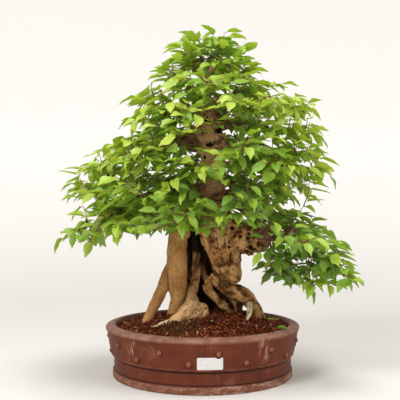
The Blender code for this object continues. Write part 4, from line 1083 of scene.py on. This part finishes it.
# Points at least a spacing apart inside the crown, whose depth is an ellipse over its width at each height
def spreadTargets():
    draws = np.random.default_rng(spray["seed"])
    low, high = np.min(spray["outline"], axis=0), np.max(spray["outline"], axis=0)
    x, z = (draws.uniform(low[k], high[k], spray["candidates"]) for k in (0, 1))
    keep = insideOutline(x, z) & (x < spray["padEnd"])
    x, z = x[keep], z[keep]
    left, right = edgesAt(z)
    share = (2 * x - left - right) / (right - left + 1.0)
    deep = spray["depthShare"] * 0.5 * (right - left) * np.sqrt(np.clip(1 - share**2, 0.02, 1))
    deep = np.where(z < 250, spray["padDepth"], np.minimum(deep, spray["depthLimit"]))
    part = draws.uniform(-1, 1, len(x))
    y = part * deep - np.where(z < 290, unit((x - 90) / 170) * 60.0, 0.0)
    core = (np.hypot(share, part) < spray["core"]) & (z < 590)
    keep = ~core | (draws.uniform(0, 1, len(x)) < spray["coreShare"])
    chosen = []
    for place in np.stack([x, y, z], axis=1)[keep]:
        spacing = np.interp(place[2], (540.0, 590.0), (spray["spacing"], spray["apexSpacing"]))
        if place[0] > 70.0 and place[2] < 300.0:
            spacing = spray["padSpacing"]
        if clearOfWood(Vector(place)) and all(np.linalg.norm(place - other) > spacing for other in chosen):
            chosen.append(place)
    return np.array(chosen)


# Each target's branch and starting point: the nearest point of a limb or shoot, dearer where the twig
# would turn back towards the trunk or drop steeply. Targets move towards the limb's height, as a flat pad.
def shareTargets(targets):
    lines = [(number, line) for number, (limb, _, shoots) in enumerate(limbs) for line in [limb[1:], *shoots]]
    shares = np.linspace(0.05, 0.98, spray["baseSteps"])
    owners = np.repeat([number for number, _ in lines], len(shares))
    places = np.array([along(line, share)[0] for _, line in lines for share in shares])
    out = np.hypot(places[:, 0] - spray["middle"], places[:, 1])
    shared = [[] for _ in limbs]
    for target in targets:
        away = target - places
        inward = np.clip(out - np.hypot(target[0] - spray["middle"], target[1]), 0, None)
        cost = np.linalg.norm(away, axis=1) + spray["inwardCost"] * inward
        best = int(np.argmin(cost + spray["downCost"] * np.clip(-away[:, 2], 0, None)))
        level = target + (0, 0, spray["flatten"] * np.clip(places[best][2] + 6.0 - target[2], -30, 30))
        shared[owners[best]].append((Vector(places[best]), Vector(level)))
    return shared


# A twig from a limb to its target, bowed upwards
def reachingTwig(base, target, draws):
    run = target - base
    bow = Vector([draws.uniform(*span) for span in ((-0.08, 0.08), (-0.08, 0.08), (0.02, 0.16))]) * run.length
    return [base, base + run * 0.5 + bow, target]


# The level direction from the crown's middle line to a place
def outwards(place):
    return Vector((place.x - spray["middle"], place.y, 0.0)).normalized()


# Leaves in two ranks along a shoot from a share of its length to its end, and one at the tip
def growLeaves(shoot, first, draws):
    grown = []
    length = sum((b - a).length for a, b in zip(shoot, shoot[1:]))
    count = max(1, round(length * (1 - first) / spray["leafSpacing"]))
    side = draws.choice((-1, 1))
    for index in range(count + 1):
        side = -side
        place, heading = along(shoot, min(first + (1 - first) * index / count, 0.999))
        turn = 0.0 if index == count else side * draws.uniform(*spray["turn"])
        heading = turned(heading, turn) + outwards(place) * spray["outward"]
        put = spreadLeaf(place, heading, draws)
        if not any(inOpening(put.translation + put.to_3x3().col[0] * reach) for reach in (6, 20, 34)):
            grown.append((put, draws.uniform(*spray["leafLength"])))
    return grown


# Whether a point hides the trunk where it shows: its place on the trunk's plane, as the camera sees it
def inOpening(place):
    if place.y > 5.0:
        return False
    eyeX, eyeY, eyeZ = camera["place"]
    far = eyeY / (eyeY - place.y)
    x, z = (place.x - eyeX) * far + eyeX, (place.z - eyeZ) * far + eyeZ
    return any(((x - cx) / wide)**2 + ((z - cz) / tall)**2 < 1 for cx, cz, wide, tall in spray["openings"])


# A leaf that would hide the trunk where it shows is turned up level at its base
def liftedLeaf(put):
    ahead = put.to_3x3().col[0]
    if not inOpening(put.translation + ahead * 20.0):
        return put
    return leafFrame(put.translation, ahead, math.radians(-8.0), 0.0)


# A leaf's frame: its upper face leans away from the trunk
def spreadLeaf(place, heading, draws):
    flat = Vector((heading.x, heading.y, 0.0)).normalized()
    apex = spray["apexShare"] * crown["apexLift"] * upApex(place)
    droop = math.radians(draws.uniform(*spray["droop"]) - apex)
    lean = lift(1).cross(flat).dot(outwards(place)) * draws.uniform(*spray["lean"])
    return leafFrame(place, heading, droop, math.radians(draws.uniform(-spray["roll"], spray["roll"]) - lean))


# A piece of stems and leaves: each stem group is (paths, radii, sides, tone), each leaf is
# (frame, length, tone), and the leaves are copies of the blade forms at the ends of thin stalks
def leafyPiece(name, stems, grown, draws):
    axes = np.array([put.to_3x3().transposed() for put, _, _ in grown])
    starts = np.array([put.translation for put, _, _ in grown])
    lengths, tones = (np.array([entry[k] for entry in grown]) for k in (1, 2))
    bases = starts + axes[:, 0] * leaf["petiole"]
    stalks = np.stack([starts, bases + axes[:, 0] * 0.8], axis=1)
    stems = [*stems, (stalks, np.broadcast_to([0.55, 0.4], (len(grown), 2)), 3, 1.0)]
    pick = np.array([draws.randrange(leaf["variants"]) for _ in grown])
    blades = leafForms[pick] * (lengths - leaf["petiole"])[:, None, None]
    blades = np.einsum("npk,nkj->npj", blades, axes) + bases[:, None]
    shells = [tubeGrids(*stem[:3]) for stem in stems]
    points, faces = joined(shells)
    bladeFaces = repeatFaces(gridFaces(leaf["rows"], len(leaf["across"])), len(grown), len(leafGrid))
    tone = [np.full(len(shell[0]), stem[3]) for shell, stem in zip(shells, stems)]
    uv = np.concatenate([np.zeros((len(points), 2)), np.tile(leafGrid, (len(grown), 1))])
    slots = np.repeat([0, 1], [len(faces[0]) + len(faces[1]), len(bladeFaces)])
    return putMesh(name, np.concatenate([points, blades.reshape(-1, 3)]), [*faces, bladeFaces + len(points)],
                   [finishes["twig"], finishes["leaf"]], slots=slots, uv=uv,
                   values={"tone": np.concatenate([*tone, np.repeat(tones, len(leafGrid))])})


# One piece for a branch: its limb, its twigs and its leaves
def makeBranch(number, limb, radii, shoots, cadLeaves, reached):
    draws = random.Random(9000 + number)
    grown = [(liftedLeaf(put), length) for put, length in cadLeaves]
    for shoot in shoots:
        grown += growLeaves(shoot, 0.22, draws)[:-1]
    moreShoots = [reachingTwig(base, target, draws) for base, target in reached]
    for shoot in moreShoots:
        length = (shoot[2] - shoot[0]).length
        grown += growLeaves(shoot, max(0.2, 1.0 - spray["leafyLength"] / length), draws)
    back = (limb[0] - limb[1]).normalized() * 4.0
    path = smoothPath(np.column_stack([np.array([limb[0] + back, *limb]), [radii[0], *radii]]), 30)
    wobble = np.linspace(0, 1, 30)[:, None] * clouds(path[:, :3] + number, 16.0, 2, number)[:, None]
    path[:, :3] += 2.2 * wobble * np.array([0.5, 0.5, 1.0])
    lines = np.array([smoothPath(np.array(shoot), 9) for shoot in [*shoots, *moreShoots]])
    kinks = draws.uniform(0.5, 1.0) * np.sin(np.arange(1, 8) * 2.1)[None, :, None]
    lines[:, 1:-1] += kinks * np.array([0.3, 0.3, 0.8])
    thick = np.broadcast_to(np.linspace(spray["twigRadius"], spray["twigTip"], 9), lines.shape[:2])
    stems = [(path[None, :, :3], path[None, :, 3], 9, 0.0), (lines, thick, 5, 0.6)]
    leaves = [(put, length, leafTone(put.translation, draws)) for put, length in grown]
    return leafyPiece(f"leafyBranch{number:02d}", stems, leaves, draws), len(grown)


# Young leaves far out and high up are the yellowest, and those deep inside and low are darker, partly their
# own colour and partly painted shade; the low right pad is darker still, as painted shade
def leafTone(place, draws):
    reach = math.hypot(place.x - spray["middle"], place.y) / max(60.0, 0.62 * (660.0 - place.z))
    height = unit((place.z - 200.0) / 430.0)
    padShade = 0.06 * unit((place.x - 60.0) / 40.0) * unit((330.0 - place.z) / 60.0)
    return unit(0.06 + 0.45 * min(1.2, reach) + 0.26 * height - padShade + draws.gauss(0.0, 0.19))


targets = spreadTargets()
leafCount = 0
branches = zip(limbs, solidLeaves, shareTargets(targets))
for number, ((limb, radii, shoots), group, reached) in enumerate(branches, 1):
    branch, count = makeBranch(number, limb, radii, shoots, group, reached)
    settle(branch, "leaf_green", f"leafy_branch_{number:02d}")
    leafCount += count
print("branches made:", len(limbs), "with", len(targets), "more twigs and", leafCount, "leaves")


# Small things: bare twigs by the upper trunk, a fallen leaf and a seedling on the soil

small = {"twigs": [((-6, -12, 428), (-66, -34, 441), 9), ((-8, -10, 436), (-60, -20, 433), 5),
                   ((-5, -14, 421), (-70, -44, 428), 8), ((-8, -8, 443), (-58, -28, 452), 6),
                   ((-7, -14, 432), (-52, -46, 424), 4)],
         "twigRadius": (2.0, 0.7), "fallen": (127.0, -74.0, 27.0), "seedling": (129.0, -36.0, 9.0),
         "seedlingLeaves": 5}


def onSoil(x, y, above=0.0):
    return Vector((x, y, float(soilHeight(np.array(x), np.array(y))) + above))


def makeSmallThings():
    draws = random.Random(7)
    lines = []
    for base, end, arch in small["twigs"]:
        middle = (Vector(base) + Vector(end)) / 2 + lift(arch)
        lines.append(smoothPath([base, tuple(middle), end], 12))
    lines = np.array(lines) + 0.5 * np.sin(np.arange(12) * 1.9)[None, :, None]
    thick = np.broadcast_to(np.linspace(*small["twigRadius"], 12), lines.shape[:2])
    tips = []
    for line, turn in itertools.product(lines, (-0.9, 0.6)):
        heading = Matrix.Rotation(turn, 3, "Z") @ Vector(line[-1] - line[-2])
        tips.append((spreadLeaf(Vector(line[-1]), heading, draws), 30.0, 0.3))
    settle(leafyPiece("innerTwigs", [(lines, thick, 7, 0.1)], tips, draws), "bark")

    x, y, length = small["fallen"]
    lying = leafFrame(onSoil(x, y, 1.6), Vector((1, -0.35, 0)), math.radians(-8), 0.15)
    x, y, height = small["seedling"]
    foot = onSoil(x, y)
    top = foot + Vector((0.8, 0, height))
    sprout = [(leafFrame(top, spoke(72 * turn + 20), math.radians(-14), 0.0), 13.0, 0.9)
              for turn in range(small["seedlingLeaves"])]
    stem = (np.array([[foot - lift(2), top]]), np.array([[0.6, 0.5]]), 5, 1.0)
    settle(leafyPiece("soilSprouts", [stem], [(lying, length, 0.12), *sprout], draws), "leaf_green")


makeSmallThings()
print("small things made")


# The studio: a pale round floor that curves up into a wall, soft lights and the camera

studio = {"floorRadius": 1250.0, "curve": 2050.0, "wallTop": 2600.0, "floor": (0.74, 0.715, 0.68),
          "wall": (0.88, 0.865, 0.84), "glow": 0.27, "world": 0.3,
          # In metres: where the paper brightens, then each light's place, aim, size and power
          "brightens": (0.6, 2.9),
          "lights": [((-1.1, -1.5, 1.9), (0, 0, 0.32), 0.8, 34.0), ((1.5, -1.4, 1.2), (0, 0, 0.3), 1.2, 8.0),
                     ((0.2, -0.1, 2.3), (0, 0, 0.4), 1.1, 26.0)]}


# A flat disc, a quarter circle at its edge and a straight wall, turned about Z
def makeStudio():
    turn, curve, steps = np.linspace(0, 0.5 * np.pi, 17), studio["curve"], 96
    bend = np.stack([studio["floorRadius"] + curve * np.sin(turn), curve - curve * np.cos(turn)], axis=1)
    outline = np.concatenate([[(1.0, 0.0), (900.0, 0.0)], bend, [(bend[-1, 0], studio["wallTop"])]])
    f = Finish("studioPaper", {"Roughness": 0.9, "Specular IOR Level": 0.1,
                               "Emission Strength": studio["glow"]})
    far = f.node("VectorMath", {"operation": "LENGTH"}, {0: f.place}, 1).rise(*studio["brightens"])
    shine = f.coats((0.05, 0.05, 0.05), (studio["wall"], far))
    f.tree.links.new(shine.socket, f.shader.inputs["Emission Color"])
    paint = f.paint(f.coats(studio["floor"], (studio["wall"], far)))
    faces = gridFaces(len(outline), steps, ring=True)
    paper = putMesh("studioFloor", turnedGrid(outline, steps), [faces], [paint])


def makeLights():
    for index, (place, target, size, power) in enumerate(studio["lights"]):
        lamp = bpy.data.lights.new(f"softLight{index}", "AREA")
        lamp.size, lamp.energy = size, power
        turn = (Vector(target) - Vector(place)).to_track_quat("-Z", "Y").to_euler()
        addObject(lamp.name, lamp, place, turn)
    world = bpy.data.worlds.new("studioLight")
    world.use_nodes = True
    back = world.node_tree.nodes["Background"]
    back.inputs["Color"].default_value = (1.0, 0.98, 0.95, 1.0)
    back.inputs["Strength"].default_value = studio["world"]
    bpy.context.scene.world = world


def makeCamera():
    data = bpy.data.cameras.new("frontView")
    data.sensor_width, data.lens = 36.0, camera["lens"]
    place = [value * mm for value in camera["place"]]
    bpy.context.scene.camera = addObject("frontView", data, place, (math.radians(camera["tilt"]), 0.0, 0.0))


makeStudio()
makeLights()
makeCamera()
bpy.context.scene.view_settings.view_transform = "Standard"
print("studio made")
